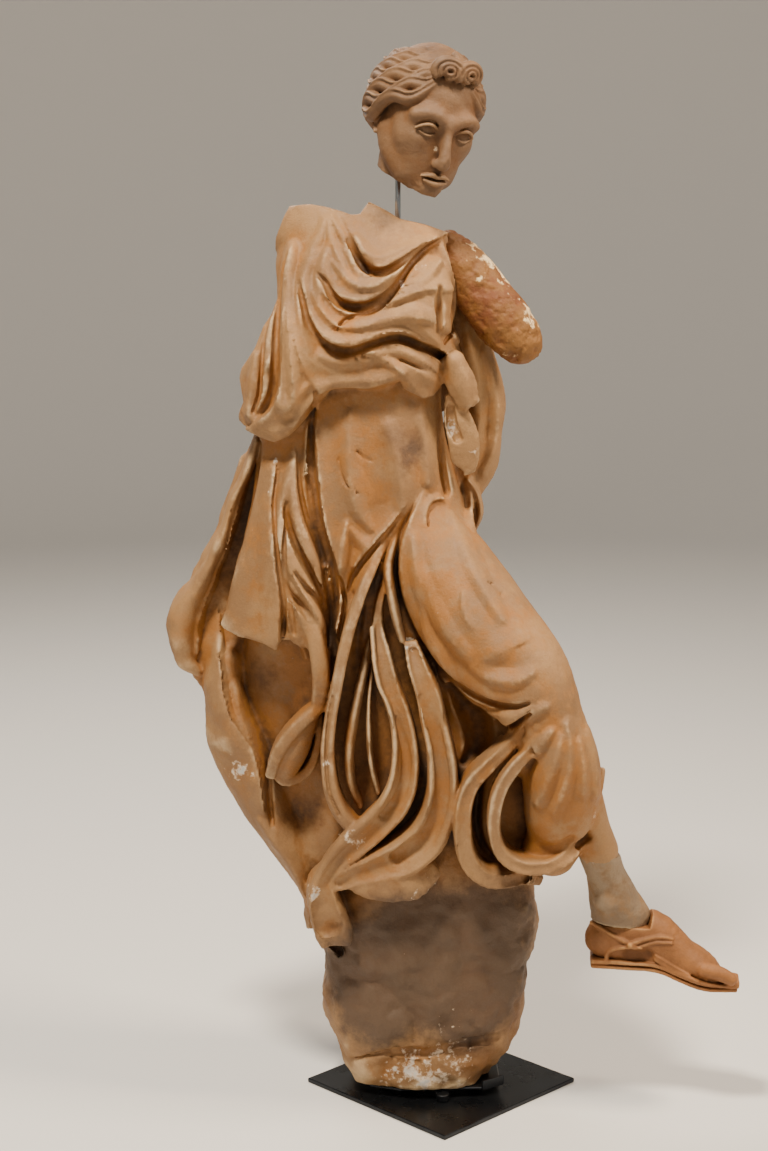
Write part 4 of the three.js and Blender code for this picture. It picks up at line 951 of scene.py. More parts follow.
# nose, upper and lower lip, the line between them and the hollows round the mouth
middleForms = [
    ("add", 2, 7, 12, [[0, -92, 8, 7, 8], [0, -96, -8, 6.5, 9], [0, -103, -32, 7.5, 10],
                       [0, -108, -50, 9.5, 10], [0, -107, -57, 9, 8]]),
    ("add", 2, 3, 5, [[-23, -90, -79, 2.5, 4], [-10, -97, -74.5, 4, 5], [0, -98.5, -76, 3.5, 5],
                      [10, -97, -74.5, 4, 5], [23, -90, -79, 2.5, 4]]),
    ("add", 2, 4, 5, [[-17, -91, -84, 3, 5], [0, -97, -87, 5.5, 6.5], [17, -91, -84, 3, 5]]),
    ("carve", 2, 1.5, 5, [[-24, -92, -80, 1.3, 5], [-10, -100, -79.5, 1.6, 5],
                          [0, -102, -81, 1.6, 5], [10, -100, -79.5, 1.6, 5],
                          [24, -92, -80, 1.3, 5]]),
    ("carve", 2, 4, 5, [[0, -107, -66, 2, 5], [0, -105, -72, 2.4, 5]]),
    ("carve", 2, 7, 5, [[-8, -100, -94, 2.4, 5], [8, -100, -94, 2.4, 5]]),
]
earRim = [[-3, 9], [-7, 15], [-1, 20], [8, 17], [12, 6], [9, -8], [2, -19], [-3, -23]]
foreLock = [[0, -86, 74, 6, 9], [0, -74, 92, 7, 9], [0, -56, 104, 6, 7]]
noseChip = [[4, -128, -50, 9, 12], [8, -126, -40, 8, 10]]


def onSkull(azimuth, height, side, lift=0.0):
    a, e = math.radians(azimuth), math.radians(height)
    rx, ry, rz = [r + lift for r in headValues["hairRadii"]]
    cx, cy, cz = headValues["hairCentre"]
    return [cx + side * rx * math.sin(a) * math.cos(e), cy - ry * math.cos(a) * math.cos(e),
            cz + rz * math.sin(e)]


# one wavy lock combed back from the parting: half width, half height and lift in mm
def hairLock(clay, side, start, end, width, height, wave, phase, lift=0.0, steps=18):
    rows = []
    for i in range(steps + 1):
        t = i / steps
        azimuth = start[0] + (end[0] - start[0]) * t
        rise = start[1] + (end[1] - start[1]) * t ** 0.85
        turns = headValues["lockWaves"] * t + phase
        rise += wave * math.sin(2 * math.pi * turns) * min(1, 4 * t)
        taper = min(1, 0.35 + 3 * t, 0.3 + 3.5 * (1 - t))
        rows.append(onSkull(azimuth, rise, side, lift) + [width * taper, height * taper])
    clay.add(rows, 1.5, 2.5, step=8, facing=np.array(headValues["hairCentre"]))


def applyForms(clay, forms, side=1):
    for action, power, blend, step, rows in forms:
        placed = [[side * row[0]] + list(row[1:]) for row in rows]
        work = clay.carve if action == "carve" else clay.add
        work(placed, power, blend, step=step)


# locks combed back on one side: broad ones with a narrower one raised between each two
def combedHair(clay, side):
    count = headValues["locks"]
    for i in range(count):
        t = i / (count - 1)
        hairLock(clay, side, (10 + 4 * t, 37 + 42 * t), (150 + 10 * t, -40 + 78 * t),
                 9.5 - 1.5 * t, 11 - 3 * t, 5 - 2 * t, 0.15 + 0.31 * i, 1)
        if i < count - 1:
            hairLock(clay, side, (14 + 4 * t, 40 + 42 * t), (146 + 10 * t, -35 + 78 * t),
                     4.5, 12 - 3 * t, 5 - 2 * t, 0.2 + 0.31 * i, 2)


# rings of hair knotted over the forehead on one side
def hairKnot(clay, side, steps=12):
    largest = headValues["knotRings"][0][0]
    for ring, sweep in headValues["knotRings"]:
        rows = []
        for k in range(steps + 1):
            a = math.radians(-40 + sweep * k / steps)
            rows.append([side * (20 + ring * math.cos(a)) * 0.9,
                         -82 + 0.25 * ring * math.cos(a), 82 + ring * 0.72 * math.sin(a),
                         5, 8 + (largest - ring) * 0.2])
        clay.add(rows, 1.6, 2.5, step=5)


def modelHead():
    v = headValues
    clay = Clay(v["low"], v["high"], v["voxel"])
    centre = np.array(v["hairCentre"])
    applyForms(clay, headMasses)
    for side in (-1, 1):
        applyForms(clay, pairedForms, side)
    applyForms(clay, middleForms)
    report("face")
    for side in (-1, 1):
        combedHair(clay, side)
        hairKnot(clay, side)
        clay.add([[side * (71 + 2 * math.sin(k)), 6 + y, -14 + z, 3.2, 3.6]
                  for k, (y, z) in enumerate(earRim)], 2, 2, step=4, facing=centre)
        clay.add([[side * 68, 8, -6, 7, 5], [side * 68, 10, -22, 6, 5]], 2, 3)
        clay.carve([[side * 74, 8, -8, 5, 4], [side * 74, 10, -16, 4, 4]], 2, 2, step=5)
    clay.add(foreLock, 1.6, 3, step=6)
    for k in range(v["backLocks"]):
        drop = -28 + 7 * k
        spread = 60 - 2 * k
        clay.add([[-spread, 66, drop, 4, 5], [-spread * 0.5, 88, drop - 6, 6, 9],
                  [0, 96, drop - 8, 6, 10], [spread * 0.5, 88, drop - 6, 6, 9],
                  [spread, 66, drop, 4, 5]], 1.6, 3, facing=centre)
    x, y, z = clay.axes
    tilt = math.tan(math.radians(v["breakSlope"]))
    plane = (v["breakHeight"] - x[:, None, None] * tilt
             + v["breakRise"] * (y[None, :, None] + 40) - z[None, None, :])
    clay.field = np.maximum(clay.field, plane.astype(np.float32))
    clay.carve(noseChip, 2, 2)
    report("hair")
    verts, faces = clay.mesh()
    normals = vertexNormals(verts, faces)
    verts += normals * (noiseAt(verts, v["ripplePattern"], 11) * v["ripple"]
                        + noiseAt(verts, v["pitPattern"], 12, 2) * v["pitting"])[:, None]
    fade = v["fractureFade"]
    broken = np.exp(-np.maximum(verts[:, 2] - v["breakHeight"] - fade, 0) / fade)
    uneven = noiseAt(verts, v["fracturePattern"], 13) * v["fracture"]
    verts += normals * (uneven * broken)[:, None]
    return clay, verts, faces


# turn points about Y, X and Z, in degrees
def turned(points, lean, turn, bow):
    a, b, c = [math.radians(angle) for angle in (lean, bow, turn)]
    aboutY = np.array([[math.cos(a), 0, math.sin(a)], [0, 1, 0], [-math.sin(a), 0, math.cos(a)]])
    aboutX = np.array([[1, 0, 0], [0, math.cos(b), -math.sin(b)], [0, math.sin(b), math.cos(b)]])
    aboutZ = np.array([[math.cos(c), -math.sin(c), 0], [math.sin(c), math.cos(c), 0], [0, 0, 1]])
    return points @ (aboutY @ aboutX @ aboutZ).T


# arm, ankle and foot: fragments set against the body
armValues = {"voxel": 2, "triangles": 60000,
             "low": [-50, -75, 1210], "high": [160, 45, 1425],
             "swell": 1.6, "swellPattern": 70, "pitting": 4.4, "pitPattern": 14,
             "fracture": 3.2, "fracturePattern": 26, "breakHeight": 1262, "breakFade": 8,
             "worn": 0.8}
armLine = [[6, -6, 1398, 26, 34], [30, -10, 1360, 43, 46], [62, -14, 1318, 45, 47],
           [96, -18, 1276, 46, 46], [118, -20, 1248, 38, 38], [128, -21, 1236, 20, 22]]
ankleValues = {"voxel": 1.7, "triangles": 60000,
               "low": [200, -160, 285], "high": [345, -30, 455],
               "topHeight": 438.5, "topSlope": 0.24, "footHeight": 308, "footSlope": 0.12,
               "swell": 1.2, "swellPattern": 40, "seam": 2.4, "seamWidth": 2.2,
               "pitting": 1.6, "pitPattern": 12, "worn": 0.3}
ankleBones = [[[256, -124, 356, 12, 12], [262, -124, 350, 13, 12]],
              [[246, -82, 380, 9, 9], [252, -60, 330, 10, 10]]]
footValues = {"voxel": 1.5, "triangles": 90000,
              "low": [215, -160, 190], "high": [500, -25, 335],
              "toes": 5, "bigToe": 12.5, "smallToe": 9, "toeGap": 15,
              "roof": 306, "roofFrom": 334, "roofSlope": 3,
              "ripple": 0.8, "ripplePattern": 30, "pitting": 0.3, "pitPattern": 9}
footLine = [[254, -78, 272, 20, 20], [266, -79, 279, 36, 29], [298, -82, 283, 44, 34],
            [335, -86, 284, 44, 36], [362, -89, 268, 38, 38], [388, -92, 252, 30, 40],
            [412, -95, 242, 25, 42], [430, -98, 233, 20, 42], [442, -100, 226, 13, 38]]
soleLines = [[[246, -79, 245, 4, 27], [298, -82, 246, 4, 34], [348, -87, 244, 4, 37],
              [387, -92, 230, 4, 42], [427, -98, 219, 4, 45], [479, -105, 213, 4, 30]],
             [[246, -79, 237, 4, 25], [298, -82, 237, 4, 32], [348, -87, 235, 4, 35],
              [387, -92, 221, 4, 40], [427, -98, 210, 4, 43], [476, -105, 206, 4, 28]]]
archHollow = [[300, -118, 262, 10, 12], [330, -122, 262, 10, 10]]
# raised straps of the sandal: [x, z, half width, half height]
straps = {
    "heel": [[242, 309, 4, 4], [257, 302, 4, 5], [279, 291, 4, 5], [302, 280, 5, 6]],
    "instep": [[302, 280, 5, 6], [328, 290, 4, 5], [352, 294, 4, 5], [370, 290, 3, 4]],
    "instepTwo": [[318, 277, 3, 4], [344, 285, 3, 4], [368, 284, 3, 4]],
    "toe": [[302, 280, 5, 6], [331, 264, 4, 5], [360, 247, 4, 5], [386, 234, 4, 5],
            [410, 225, 3, 4]],
    "toeTwo": [[316, 276, 3, 4], [344, 262, 3, 4], [373, 246, 3, 4], [396, 234, 3, 4]],
    "heelLoop": [[300, 275, 4, 5], [283, 272, 4, 5], [270, 265, 4, 5], [266, 254, 4, 5],
                 [267, 245, 3, 4]],
}


def modelArm():
    v = armValues
    clay = Clay(v["low"], v["high"], v["voxel"])
    clay.add(armLine, 2, 10)
    verts, faces = clay.mesh()
    pits = np.minimum(noiseAt(verts, v["pitPattern"], 21, 3) - 0.12, 0)
    end = 1 / (1 + np.exp((verts[:, 2] - v["breakHeight"]) / v["breakFade"]))
    verts += vertexNormals(verts, faces) * (
        noiseAt(verts, v["swellPattern"], 22) * v["swell"] + pits * v["pitting"]
        + noiseAt(verts, v["fracturePattern"], 23) * v["fracture"] * end
        - v["worn"])[:, None]
    return clay, verts, faces


def modelAnkle():
    v = ankleValues
    clay = Clay(v["low"], v["high"], v["voxel"])
    rows = smoothLine(legLine, 6)
    clay.add(rows[(rows[:, 2] < 440) & (rows[:, 2] > 296)], 2, 6)
    for bone, blend in zip(ankleBones, (14, 10)):
        clay.add(bone, 2, blend)
    x, y, z = clay.axes
    across, through, up = x[:, None, None], y[None, :, None], z[None, None, :]
    above = up - (v["topHeight"] - v["topSlope"] * (across - 250)) + through * 0
    below = v["footHeight"] - v["footSlope"] * (across - 280) - up
    clay.field = np.maximum(np.maximum(clay.field, above.astype(np.float32)),
                            below.astype(np.float32))
    verts, faces = clay.mesh()
    seam = np.abs(verts[:, 2] - v["topHeight"] + v["topSlope"] * (verts[:, 0] - 250))
    verts += vertexNormals(verts, faces) * (
        noiseAt(verts, v["swellPattern"], 31) * v["swell"]
        - v["seam"] * np.exp(-seam / v["seamWidth"])
        + np.minimum(noiseAt(verts, v["pitPattern"], 32) - 0.1, 0) * v["pitting"]
        - v["worn"])[:, None]
    return clay, verts, faces


def modelFoot():
    v = footValues
    clay = Clay(v["low"], v["high"], v["voxel"])
    clay.add(footLine, 2.2, 4)
    x, y, z = clay.axes
    roof = v["roof"] + v["roofSlope"] * np.maximum(x - v["roofFrom"], 0)
    above = z[None, None, :] - roof[:, None, None] + np.zeros((1, len(y), 1))
    clay.field = np.maximum(clay.field, above.astype(np.float32))
    for i in range(v["toes"]):
        across = -134 + i * v["toeGap"]
        size = v["bigToe"] if i == 0 else v["smallToe"] - 0.5 * i
        clay.add([[420, across + 3, 243, size, size + 1],
                  [446 - 3 * i, across, 236, size, size],
                  [465 - 5 * i, across - 1, 227, size * 0.8, size * 0.9]], 2, 1.5, step=5)
    for line in soleLines:
        clay.add(line, 5, 1.5)
    for line in straps.values():
        local, part = clay.distanceTo(clay.laid(line, step=5, even=3), 2)
        clay.join(local, part, 2)
    clay.carve(archHollow, 2, 8)
    verts, faces = clay.mesh()
    verts += vertexNormals(verts, faces) * (
        noiseAt(verts, v["ripplePattern"], 41) * v["ripple"]
        + noiseAt(verts, v["pitPattern"], 42, 2) * v["pitting"])[:, None]
    return clay, verts, faces


# sRGB hex to a linear colour
def linear(hexColour):
    parts = [int(hexColour[i:i + 2], 16) / 255 for i in (1, 3, 5)]
    return [p / 12.92 if p <= 0.04045 else ((p + 0.055) / 1.055) ** 2.4 for p in parts] + [1]


# one node with its settings, and inputs that are values or sockets to link
def addNode(tree, kind, settings={}, inputs={}):
    node = tree.nodes.new(kind)
    for name, value in settings.items():
        setattr(node, name, value)
    for name, value in inputs.items():
        if isinstance(value, bpy.types.NodeSocket):
            tree.links.new(value, node.inputs[name])
        else:
            node.inputs[name].default_value = value
    return node


def newMaterial(name, roughness, metallic=0, ior=1.5):
    material = bpy.data.materials.new(name)
    material.use_nodes = True
    shader = material.node_tree.nodes["Principled BSDF"]
    shader.inputs["Roughness"].default_value = roughness
    shader.inputs["Metallic"].default_value = metallic
    shader.inputs["IOR"].default_value = ior
    return material, material.node_tree, shader


# Marble that lay in the ground for centuries: a matt, grainy skin, iron stain in the
# valleys of the cloth, earth and painted shade in its deep hollows, dull grey stone that is
# also painted shade on the belly under the hem and on the rock, pale crystal where edges have
# worn and cool grey where it broke late. Each layer is a colour laid over the one before it,
# where a weighted sum of the marks and of the noises passes from its low to its high value.
def agedMarble(name, v):
    material, tree, shader = newMaterial(name, v["roughness"], ior=1.49)
    place = addNode(tree, "ShaderNodeTexCoord").outputs["Object"]
    signals = {}
    for label in ("hollow", "edge", "warm", "greyAndShade", "bare"):
        signals[label] = addNode(tree, "ShaderNodeAttribute",
                                 {"attribute_name": label}).outputs["Fac"]
    for label, (size, shift) in v["patterns"].items():
        moved = addNode(tree, "ShaderNodeMapping", {}, {
            "Vector": place, "Location": (shift, shift, -shift)}).outputs["Vector"]
        signals[label] = addNode(tree, "ShaderNodeTexNoise", {}, {
            "Vector": moved, "Scale": 1000 / size, "Detail": v["detail"],
            "Roughness": v["raggedness"]}).outputs["Fac"]
    colour = linear(v["skin"])
    for shade, weights, low, high, strength in v["layers"]:
        total = 0
        for label, weight in weights.items():
            total = addNode(tree, "ShaderNodeMath", {"operation": "MULTIPLY_ADD"}, {
                0: signals[label], 1: weight, 2: total}).outputs[0]
        share = addNode(tree, "ShaderNodeMapRange", {"interpolation_type": "SMOOTHSTEP"}, {
            "Value": total, "From Min": low, "From Max": high,
            "To Max": strength}).outputs["Result"]
        colour = addNode(tree, "ShaderNodeMix", {"data_type": "RGBA"}, {
            0: share, 6: colour, 7: linear(v[shade])}).outputs[2]
    brightness = addNode(tree, "ShaderNodeMath", {"operation": "MULTIPLY_ADD"}, {
        0: signals["grain"], 1: v["speckle"], 2: 1 - v["speckle"] / 2}).outputs[0]
    speckled = addNode(tree, "ShaderNodeHueSaturation", {}, {
        "Color": colour, "Value": brightness, "Saturation": v["saturation"]})
    tree.links.new(speckled.outputs["Color"], shader.inputs["Base Color"])
    rough = addNode(tree, "ShaderNodeMath", {"operation": "MULTIPLY_ADD"}, {
        0: signals["small"], 1: v["roughSpread"], 2: v["roughness"] - v["roughSpread"] / 2})
    tree.links.new(rough.outputs[0], shader.inputs["Roughness"])
    height = addNode(tree, "ShaderNodeMath", {"operation": "MULTIPLY_ADD"}, {
        0: signals["grain"], 1: v["grain"], 2: signals["small"]})
    bump = addNode(tree, "ShaderNodeBump", {}, {
        "Height": height.outputs[0], "Distance": v["relief"] * mm, "Strength": v["bump"]})
    tree.links.new(bump.outputs["Normal"], shader.inputs["Normal"])
    return material


bodyMarble = {
    "skin": "#957149", "blush": "#82603d", "pale": "#b49166", "stain": "#8c5a22",
    "amber": "#69421a", "greyedAndShaded": "#43352a", "earthAndShade": "#26180c", "worn": "#d0b68f",
    "bare": "#e4d1b8", "broken": "#a9b0b5",
    "roughness": 0.66, "saturation": 1.0, "speckle": 0.4, "grain": 0.5, "relief": 2.2,
    "bump": 0.6, "roughSpread": 0.3, "detail": 5, "raggedness": 0.62,
    # each pattern's size in mm and its shift in m; the grain is drawn coarser than real
    # marble crystal, which is too fine to show
    "patterns": {"broad": (170, 0), "middle": (55, 3), "small": (15, 7), "grain": (3.2, 1)},
    # colour, weights, low, high, strength
    "layers": [
        ("blush", {"broad": 1}, 0.42, 0.58, 1),
        ("pale", {"small": 0.8, "middle": 1.1, "greyAndShade": -0.5}, 0.96, 1.3, 0.8),
        ("stain", {"hollow": 1.7, "middle": 2.2, "small": 1, "warm": 0.5}, 2.2, 2.95, 0.95),
        ("amber", {"hollow": 1.9, "middle": 1.5, "small": 0.8, "warm": 0.5}, 2.5, 3.2, 0.8),
        # grey stone, and painted shade where the grey patches lie on the belly and the rock
        ("greyedAndShaded", {"greyAndShade": 1.2, "middle": 1.1, "small": 0.7}, 1.2, 1.9, 0.85),
        # earth and painted shade: the deepest hollows darkened to near black brown
        ("earthAndShade", {"hollow": 1, "small": 0.24}, 0.72, 0.98, 0.85),
        ("worn", {"edge": -1, "small": 0.3, "broad": 0.5, "greyAndShade": -0.5}, -0.02, 0.3, 0.7),
        ("bare", {"bare": 1, "small": 2.6, "middle": 1}, 2.4, 2.8, 0.85),
        ("broken", {"bare": 1, "small": 1.6, "middle": 2.2}, 2.7, 3.0, 0.75),
    ],
}
# where the stain, the grey skin with its painted shade, and the bare stone lie: [x, z, radius,
# strength]
bodyPatches = {
    "warm": [[-110, 620, 150, 0.8], [-100, 900, 90, 0.7], [10, 790, 80, 0.5],
             [150, 520, 90, 0.9], [-150, 1285, 50, 0.5], [-278, 1200, 34, 0.7],
             [-135, 1090, 50, 0.6], [-390, 760, 70, 0.4], [-320, 960, 60, 0.3],
             [60, 700, 60, 0.6], [-210, 1030, 25, 0.7], [-290, 620, 60, 0.4]],
    # grey stone, and painted shade: the belly under the hem, and the rock made darker towards the
    # bottom
    "greyAndShade": [[-140, 230, 85, 0.9], [-30, 240, 90, 0.9], [85, 230, 85, 0.9],
             [-110, 130, 70, 0.7], [50, 130, 75, 0.7], [-60, 335, 80, 0.55],
             [90, 340, 90, 0.6], [-84, 1112, 34, 0.5], [-46, 1082, 28, 0.55],
             [-70, 1046, 26, 0.4], [-30, 1134, 26, 0.4], [-104, 990, 26, 0.4],
             [-220, 480, 70, 0.5], [-300, 700, 60, 0.5], [10, 470, 30, 0.4],
             [-90, 1440, 50, 0.5], [-250, 850, 60, 0.3]],
    "bare": [[-268, 1066, 8, 0.8], [-273, 1044, 7, 0.8], [-280, 1016, 7, 0.6],
             [-60, 772, 12, 1.0], [-336, 560, 26, 0.9], [-190, 590, 12, 0.8],
             [-150, 470, 26, 0.7], [-205, 370, 18, 0.8], [12, 1110, 16, 0.9],
             [42, 1080, 14, 0.8], [-40, 1368, 12, 0.8], [-70, 1340, 10, 0.7],
             [10, 60, 80, 0.5], [-60, 30, 70, 0.5], [-40, 372, 30, 0.6], [-252, 1352, 8, 0.6],
             [240, 510, 10, 0.6]],
}


def patchMarks(piece, patches, points):
    for label, spots in patches.items():
        values = np.zeros(len(points), np.float32)
        for x, z, radius, strength in spots:
            away = (points[:, 0] - x) ** 2 + (points[:, 2] - z) ** 2
            values += strength * np.exp(-away / radius ** 2)
        piece.data.attributes.new(label, "FLOAT", "POINT").data.foreach_set(
            "value", np.clip(values, 0, 1).astype(np.float32))


# finish a modelled fragment: mesh, marks for the colour, and its place in the frame
def fragment(name, made, values, node, material, patches, radii, place=None):
    clay, verts, faces = made
    piece = makeObject(name, verts, faces, lift=False)
    thin(piece, values["triangles"])
    points = mark(piece, clay, *radii, lift=False)
    if place is not None:
        points = turned(points, values["lean"], values["turn"], values["bow"]) + place
    placed = (points + [0, 0, plateTop]) * mm
    piece.data.vertices.foreach_set("co", placed.astype(np.float32).ravel())
    piece.data.update()
    patchMarks(piece, patches, points)
    piece.data.materials.append(material)
    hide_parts(node)
    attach(piece, "root")
    report(f"{name}: {len(piece.data.polygons)} faces")


body, bodyPoints = modelBody()
patchMarks(body, bodyPatches, bodyPoints)
body.data.materials.append(agedMarble("weathered marble", bodyMarble))

# the head's marble is darker all over than the body's: painted shade, for a head that stands in
# shade
shadedHeadMarble = dict(bodyMarble, skin="#6f5237", blush="#634830", pale="#836446",
                  stain="#66421f", amber="#543113", earthAndShade="#24170b", worn="#a3815a",
                  bare="#d9c0a0", broken="#c7ad8c")
headPatches = {"warm": [[-60, 1560, 60, 0.3]], "greyAndShade": [[-20, 1690, 60, 0.5]],
               "bare": [[-20, 1545, 6, 0.8]]}
fragment("headFragment", modelHead(), headValues, "head",
         agedMarble("head marble darkened as painted shade", shadedHeadMarble), headPatches, (14, 5),
         headValues["place"])
# the arm is rust brown and pitted, with bare crystal where its skin has flaked
armMarble = dict(bodyMarble, skin="#7e5422", blush="#694217", pale="#a87a3e",
                 stain="#683613", amber="#52290f", worn="#d3a468", bare="#ecd2a0",
                 broken="#e6c896", relief=3.4)
armPatches = {"warm": [[60, 1320, 60, 0.6]], "greyAndShade": [[100, 1236, 16, 0.5]],
              "bare": [[70, 1392, 40, 0.95], [140, 1290, 28, 0.95], [108, 1345, 20, 0.8],
                       [95, 1240, 20, 0.6], [50, 1345, 12, 0.7]]}
fragment("armFragment", modelArm(), armValues, "left_arm",
         agedMarble("rust-stained marble of the arm", armMarble), armPatches, (16, 6))
# the ankle is grey and chalky, hardly stained
ankleMarble = dict(bodyMarble, skin="#86735c", blush="#75624d", pale="#a39078",
                   stain="#85643f", amber="#6e4c28", bare="#cfc3b2", broken="#a3a19c")
anklePatches = {"warm": [[260, 320, 30, 0.3]], "greyAndShade": [[280, 390, 50, 0.4]],
                "bare": [[240, 428, 12, 0.6]]}
fragment("ankleFragment", modelAnkle(), ankleValues, "left_ankle",
         agedMarble("greyed marble of the ankle", ankleMarble), anklePatches, (14, 6))
# the foot is orange brown all over, a little paler on its straps and toes
footMarble = dict(bodyMarble, skin="#8c5a2c", blush="#7c4f27", pale="#a4713f",
                  stain="#6f441d", amber="#573314", worn="#c4955c", bare="#cfa877",
                  broken="#ab9070")
footPatches = {"warm": [[300, 280, 60, 0.6]], "greyAndShade": [[420, 215, 30, 0.3]],
               "bare": [[475, 212, 8, 0.4]]}
fragment("footFragment", modelFoot(), footValues, "left_foot",
         agedMarble("stained marble of the foot", footMarble), footPatches, (12, 5))

# steel: a plate turned corner-on, three short posts, a tray with two upstands and a rod
steelValues = {
    "bevel": 1.2, "roundSides": 48, "roundBevel": 0.8, "plateSide": 320, "plateThickness": 8,
    "trayThickness": 4, "trayRim": 16, "trayBevel": 1.0,
    "trayOutline": [(-120, -66), (-70, -86), (70, -78), (98, -58), (96, 40), (40, 70),
                    (-90, 66), (-126, 10)],
    # x, y, length and turn in degrees of each upstand
    "upstands": [(-122, -30, 60, 74), (84, -68, 44, 36)],
}
# cloud and scratch are sizes in mm; a roughness is its lowest value and its spread
steelFinish = {
    "black": "#16181b", "sheen": "#3a3d42", "bright": "#aeb6bf", "cloud": 60, "scratch": 5,
    "blackRough": (0.16, 0.25), "brightRough": (0.12, 0.2), "ringStretch": 6,
}


# a flat piece with bevelled edges, from its outline in mm
def flatPiece(outline, low, high, bevel):
    outline = np.array(outline, float)
    centre = outline.mean(0)
    inner = outline + unit(centre - outline) * bevel * 1.4
    rings = [(inner, low), (outline, low + bevel), (outline, high - bevel), (inner, high)]
    verts = np.vstack([np.column_stack([ring, np.full(len(ring), z)]) for ring, z in rings])
    count = len(outline)
    faces = [tuple(range(count))[::-1], tuple(range(3 * count, 4 * count))]
    for level in range(3):
        for i in range(count):
            a, b = level * count + i, level * count + (i + 1) % count
            faces.append((a, b, b + count, a + count))
    return verts, faces


def ringOutline(radius, x, y, sides):
    return [(x + radius * math.cos(2 * math.pi * i / sides),
             y + radius * math.sin(2 * math.pi * i / sides)) for i in range(sides)]


def barOutline(x, y, length, width, turn):
    a = math.radians(turn)
    along = (math.cos(a) * length / 2, math.sin(a) * length / 2)
    across = (-math.sin(a) * width / 2, math.cos(a) * width / 2)
    return [(x + s * along[0] + t * across[0], y + s * along[1] + t * across[1])
            for s, t in ((-1, -1), (1, -1), (1, 1), (-1, 1))]


def steelPiece(name, parts, node, material):
    verts, faces, start = [], [], 0
    for partVerts, partFaces in parts:
        verts.append(partVerts)
        faces += [tuple(start + i for i in face) for face in partFaces]
        start += len(partVerts)
    mesh = bpy.data.meshes.new(name)
    mesh.from_pydata((np.vstack(verts) * mm).tolist(), [], faces)
    mesh.update()
    piece = bpy.data.objects.new(name, mesh)
    bpy.context.scene.collection.objects.link(piece)
    mesh.materials.append(material)
    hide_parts(node)
    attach(piece, "root")
    return piece


# Blackened, waxed mild steel: nearly black and glossy, cloudy where the wax is thicker.
def blackenedSteel():
    v = steelFinish
    material, tree, shader = newMaterial("blackened waxed steel", 0.26, 0.85)
    place = addNode(tree, "ShaderNodeTexCoord").outputs["Object"]
    cloud = addNode(tree, "ShaderNodeTexNoise", {}, {
        "Vector": place, "Scale": 1000 / v["cloud"], "Detail": 4}).outputs["Fac"]
    colour = addNode(tree, "ShaderNodeMix", {"data_type": "RGBA"}, {
        0: cloud, 6: linear(v["black"]), 7: linear(v["sheen"])})
    tree.links.new(colour.outputs[2], shader.inputs["Base Color"])
    rough = addNode(tree, "ShaderNodeMath", {"operation": "MULTIPLY_ADD"}, {
        0: cloud, 1: v["blackRough"][1], 2: v["blackRough"][0]})
    tree.links.new(rough.outputs[0], shader.inputs["Roughness"])
    return material


# Polished stainless rod: bright, with fine rings left by the grinding.
def polishedSteel():
    v = steelFinish
    material, tree, shader = newMaterial("polished stainless steel", 0.22, 1.0)
    place = addNode(tree, "ShaderNodeTexCoord").outputs["Object"]
    stretched = addNode(tree, "ShaderNodeMapping", {}, {
        "Vector": place, "Scale": (1, 1, v["ringStretch"])}).outputs["Vector"]
    rings = addNode(tree, "ShaderNodeTexNoise", {}, {
        "Vector": stretched, "Scale": 1000 / v["scratch"], "Detail": 3}).outputs["Fac"]
    rough = addNode(tree, "ShaderNodeMath", {"operation": "MULTIPLY_ADD"}, {
        0: rings, 1: v["brightRough"][1], 2: v["brightRough"][0]})
    tree.links.new(rough.outputs[0], shader.inputs["Roughness"])
    shader.inputs["Base Color"].default_value = linear(v["bright"])
    return material


def modelSteel():
    v = steelValues
    black, bright = blackenedSteel(), polishedSteel()
    half = v["plateSide"] / math.sqrt(2)
    square = [(0, -half), (half, 0), (0, half), (-half, 0)]
    steelPiece("mountPlate", [flatPiece(square, 0, v["plateThickness"], v["bevel"])],
               "base_plate", black)
    sides = v["roundSides"]
    for i in (1, 2, 3):
        low, high = [np.array(corner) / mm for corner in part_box(f"support_post_{i}")]
        x, y = (low + high)[:2] / 2
        post = flatPiece(ringOutline((high - low)[0] / 2, x, y, sides), low[2], high[2],
                         v["roundBevel"])
        steelPiece(f"mountPost{i}", [post], f"support_post_{i}", black)
    low, high = [np.array(corner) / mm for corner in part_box("head_rod")]
    x, y = (low + high)[:2] / 2
    rod = flatPiece(ringOutline((high - low)[0] / 2, x, y, sides), low[2], high[2],
                    v["roundBevel"])
    rodPiece = steelPiece("headRod", [rod], "head_rod", bright)
    rodPiece.data.polygons.foreach_set("use_smooth", [len(p.vertices) == 4
                                                      for p in rodPiece.data.polygons])
    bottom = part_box("cradle_tray")[0][2] / mm
    tray = [flatPiece(v["trayOutline"], bottom, bottom + v["trayThickness"], v["trayBevel"])]
    for x, y, length, turn in v["upstands"]:
        tray.append(flatPiece(barOutline(x, y, length, v["trayThickness"], turn),
                              bottom, bottom + v["trayRim"], v["trayBevel"]))
    steelPiece("cradleTray", tray, "cradle_tray", black)
    report("steel")


modelSteel()

# the camera stands in front, at chest height, and looks a little down
cameraValues = {"x": -0.097, "y": -3.36, "z": 1.468, "pitch": 10.0, "lens": 65.5}
camera = bpy.data.objects.new("camera", bpy.data.cameras.new("camera"))
bpy.context.scene.collection.objects.link(camera)
camera.location = (cameraValues["x"], cameraValues["y"], cameraValues["z"])
camera.rotation_euler = (math.radians(90 - cameraValues["pitch"]), 0, 0)
camera.data.lens = cameraValues["lens"]
bpy.context.scene.camera = camera

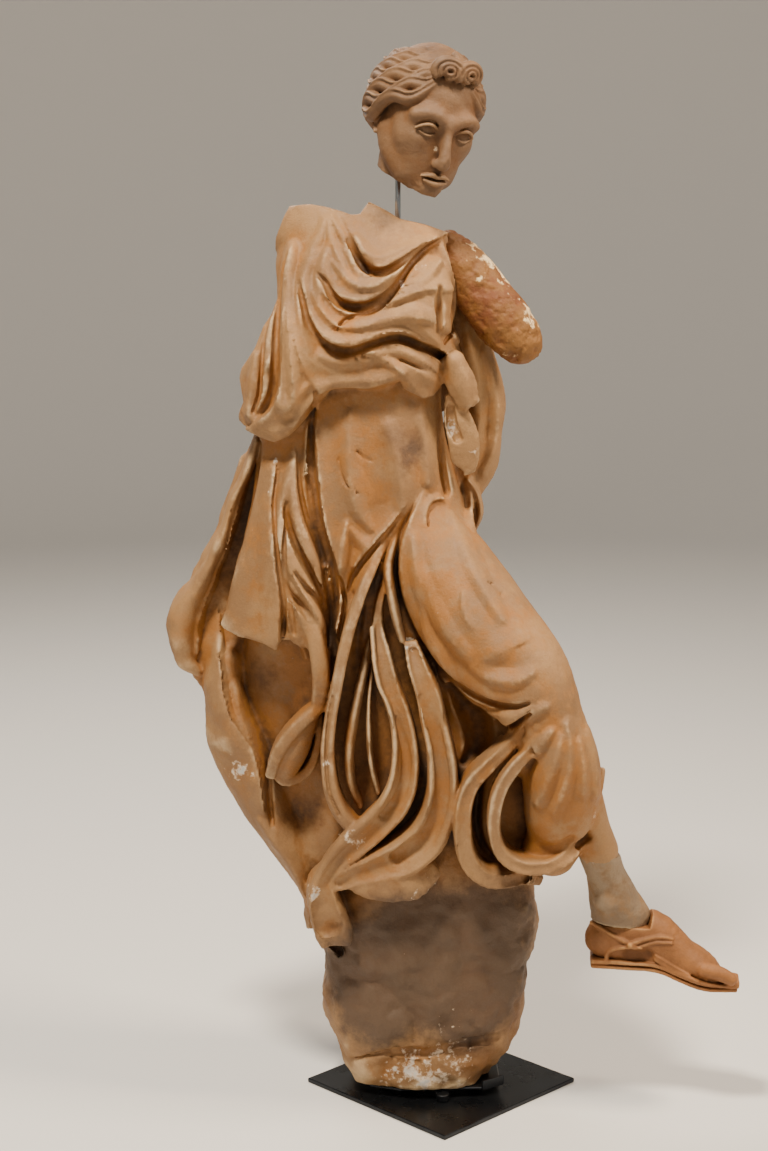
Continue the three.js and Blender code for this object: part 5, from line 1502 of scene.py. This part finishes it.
# a round floor that sweeps up into a low wall, so that no horizon shows
stageValues = {"flat": 6.0, "sweep": 2.5, "wall": 7.0, "sides": 96, "steps": 10}
profile = [(0.01, 0), (stageValues["flat"] / 2, 0)]
for i in range(stageValues["steps"] + 1):
    a = math.pi / 2 * i / stageValues["steps"]
    profile.append((stageValues["flat"] + stageValues["sweep"] * math.sin(a),
                    stageValues["sweep"] * (1 - math.cos(a))))
profile.append((profile[-1][0], stageValues["wall"]))
floorVerts, floorFaces, sides = [], [], stageValues["sides"]
for radius, height in profile:
    floorVerts += [(radius * math.cos(2 * math.pi * k / sides),
                    radius * math.sin(2 * math.pi * k / sides), height) for k in range(sides)]
for ring in range(len(profile) - 1):
    for k in range(sides):
        a, b = ring * sides + k, ring * sides + (k + 1) % sides
        floorFaces.append((a, a + sides, b + sides, b))
floorFaces.append(tuple(range(sides))[::-1])
floorMesh = bpy.data.meshes.new("floor")
floorMesh.from_pydata(floorVerts, [], floorFaces)
floorMesh.polygons.foreach_set("use_smooth", [True] * len(floorMesh.polygons))
floor = bpy.data.objects.new("floor", floorMesh)
bpy.context.scene.collection.objects.link(floor)
# matt pale floor paint, plain so that only the statue's shadow shows on it
floorPaint, _, floorShader = newMaterial("pale floor paint", 0.85)
floorShader.inputs["Base Color"].default_value = linear("#dcdad6")
floor.data.materials.append(floorPaint)

# a small key lamp high at the left, a softer one at the right, and weak fill
lights = {
    "key": {"size": 0.6, "power": 300, "place": (-0.9, -1.7, 4.3), "aim": (-0.1, 0, 0.9),
            "colour": "#fff1dc"},
    "front": {"size": 1.6, "power": 9, "place": (0.6, -3.4, 2.4), "aim": (-0.1, 0, 0.8),
              "colour": "#fff4e6"},
    "right": {"size": 0.8, "power": 150, "place": (2.2, -0.7, 3.4), "aim": (0, 0, 0.9),
              "colour": "#ffe9cf"},
    "behind": {"size": 1.8, "power": 90, "place": (-1.2, 2.6, 3.4), "aim": (0, 0, 0.9),
               "colour": "#fff6ea"},
}
for name, values in lights.items():
    data = bpy.data.lights.new(name, "AREA")
    data.size = values["size"]
    data.energy = values["power"]
    data.color = linear(values["colour"])[:3]
    lamp = bpy.data.objects.new(name, data)
    lamp.location = values["place"]
    direction = Vector(values["aim"]) - Vector(values["place"])
    lamp.rotation_euler = direction.to_track_quat("-Z", "Y").to_euler()
    bpy.context.scene.collection.objects.link(lamp)
worldValues = {"colour": "#cdd6e4", "strength": 0.2}
world = bpy.data.worlds.new("studio")
world.use_nodes = True
background = world.node_tree.nodes["Background"]
background.inputs["Color"].default_value = linear(worldValues["colour"])
background.inputs["Strength"].default_value = worldValues["strength"]
bpy.context.scene.world = world
report("camera, floor and light")
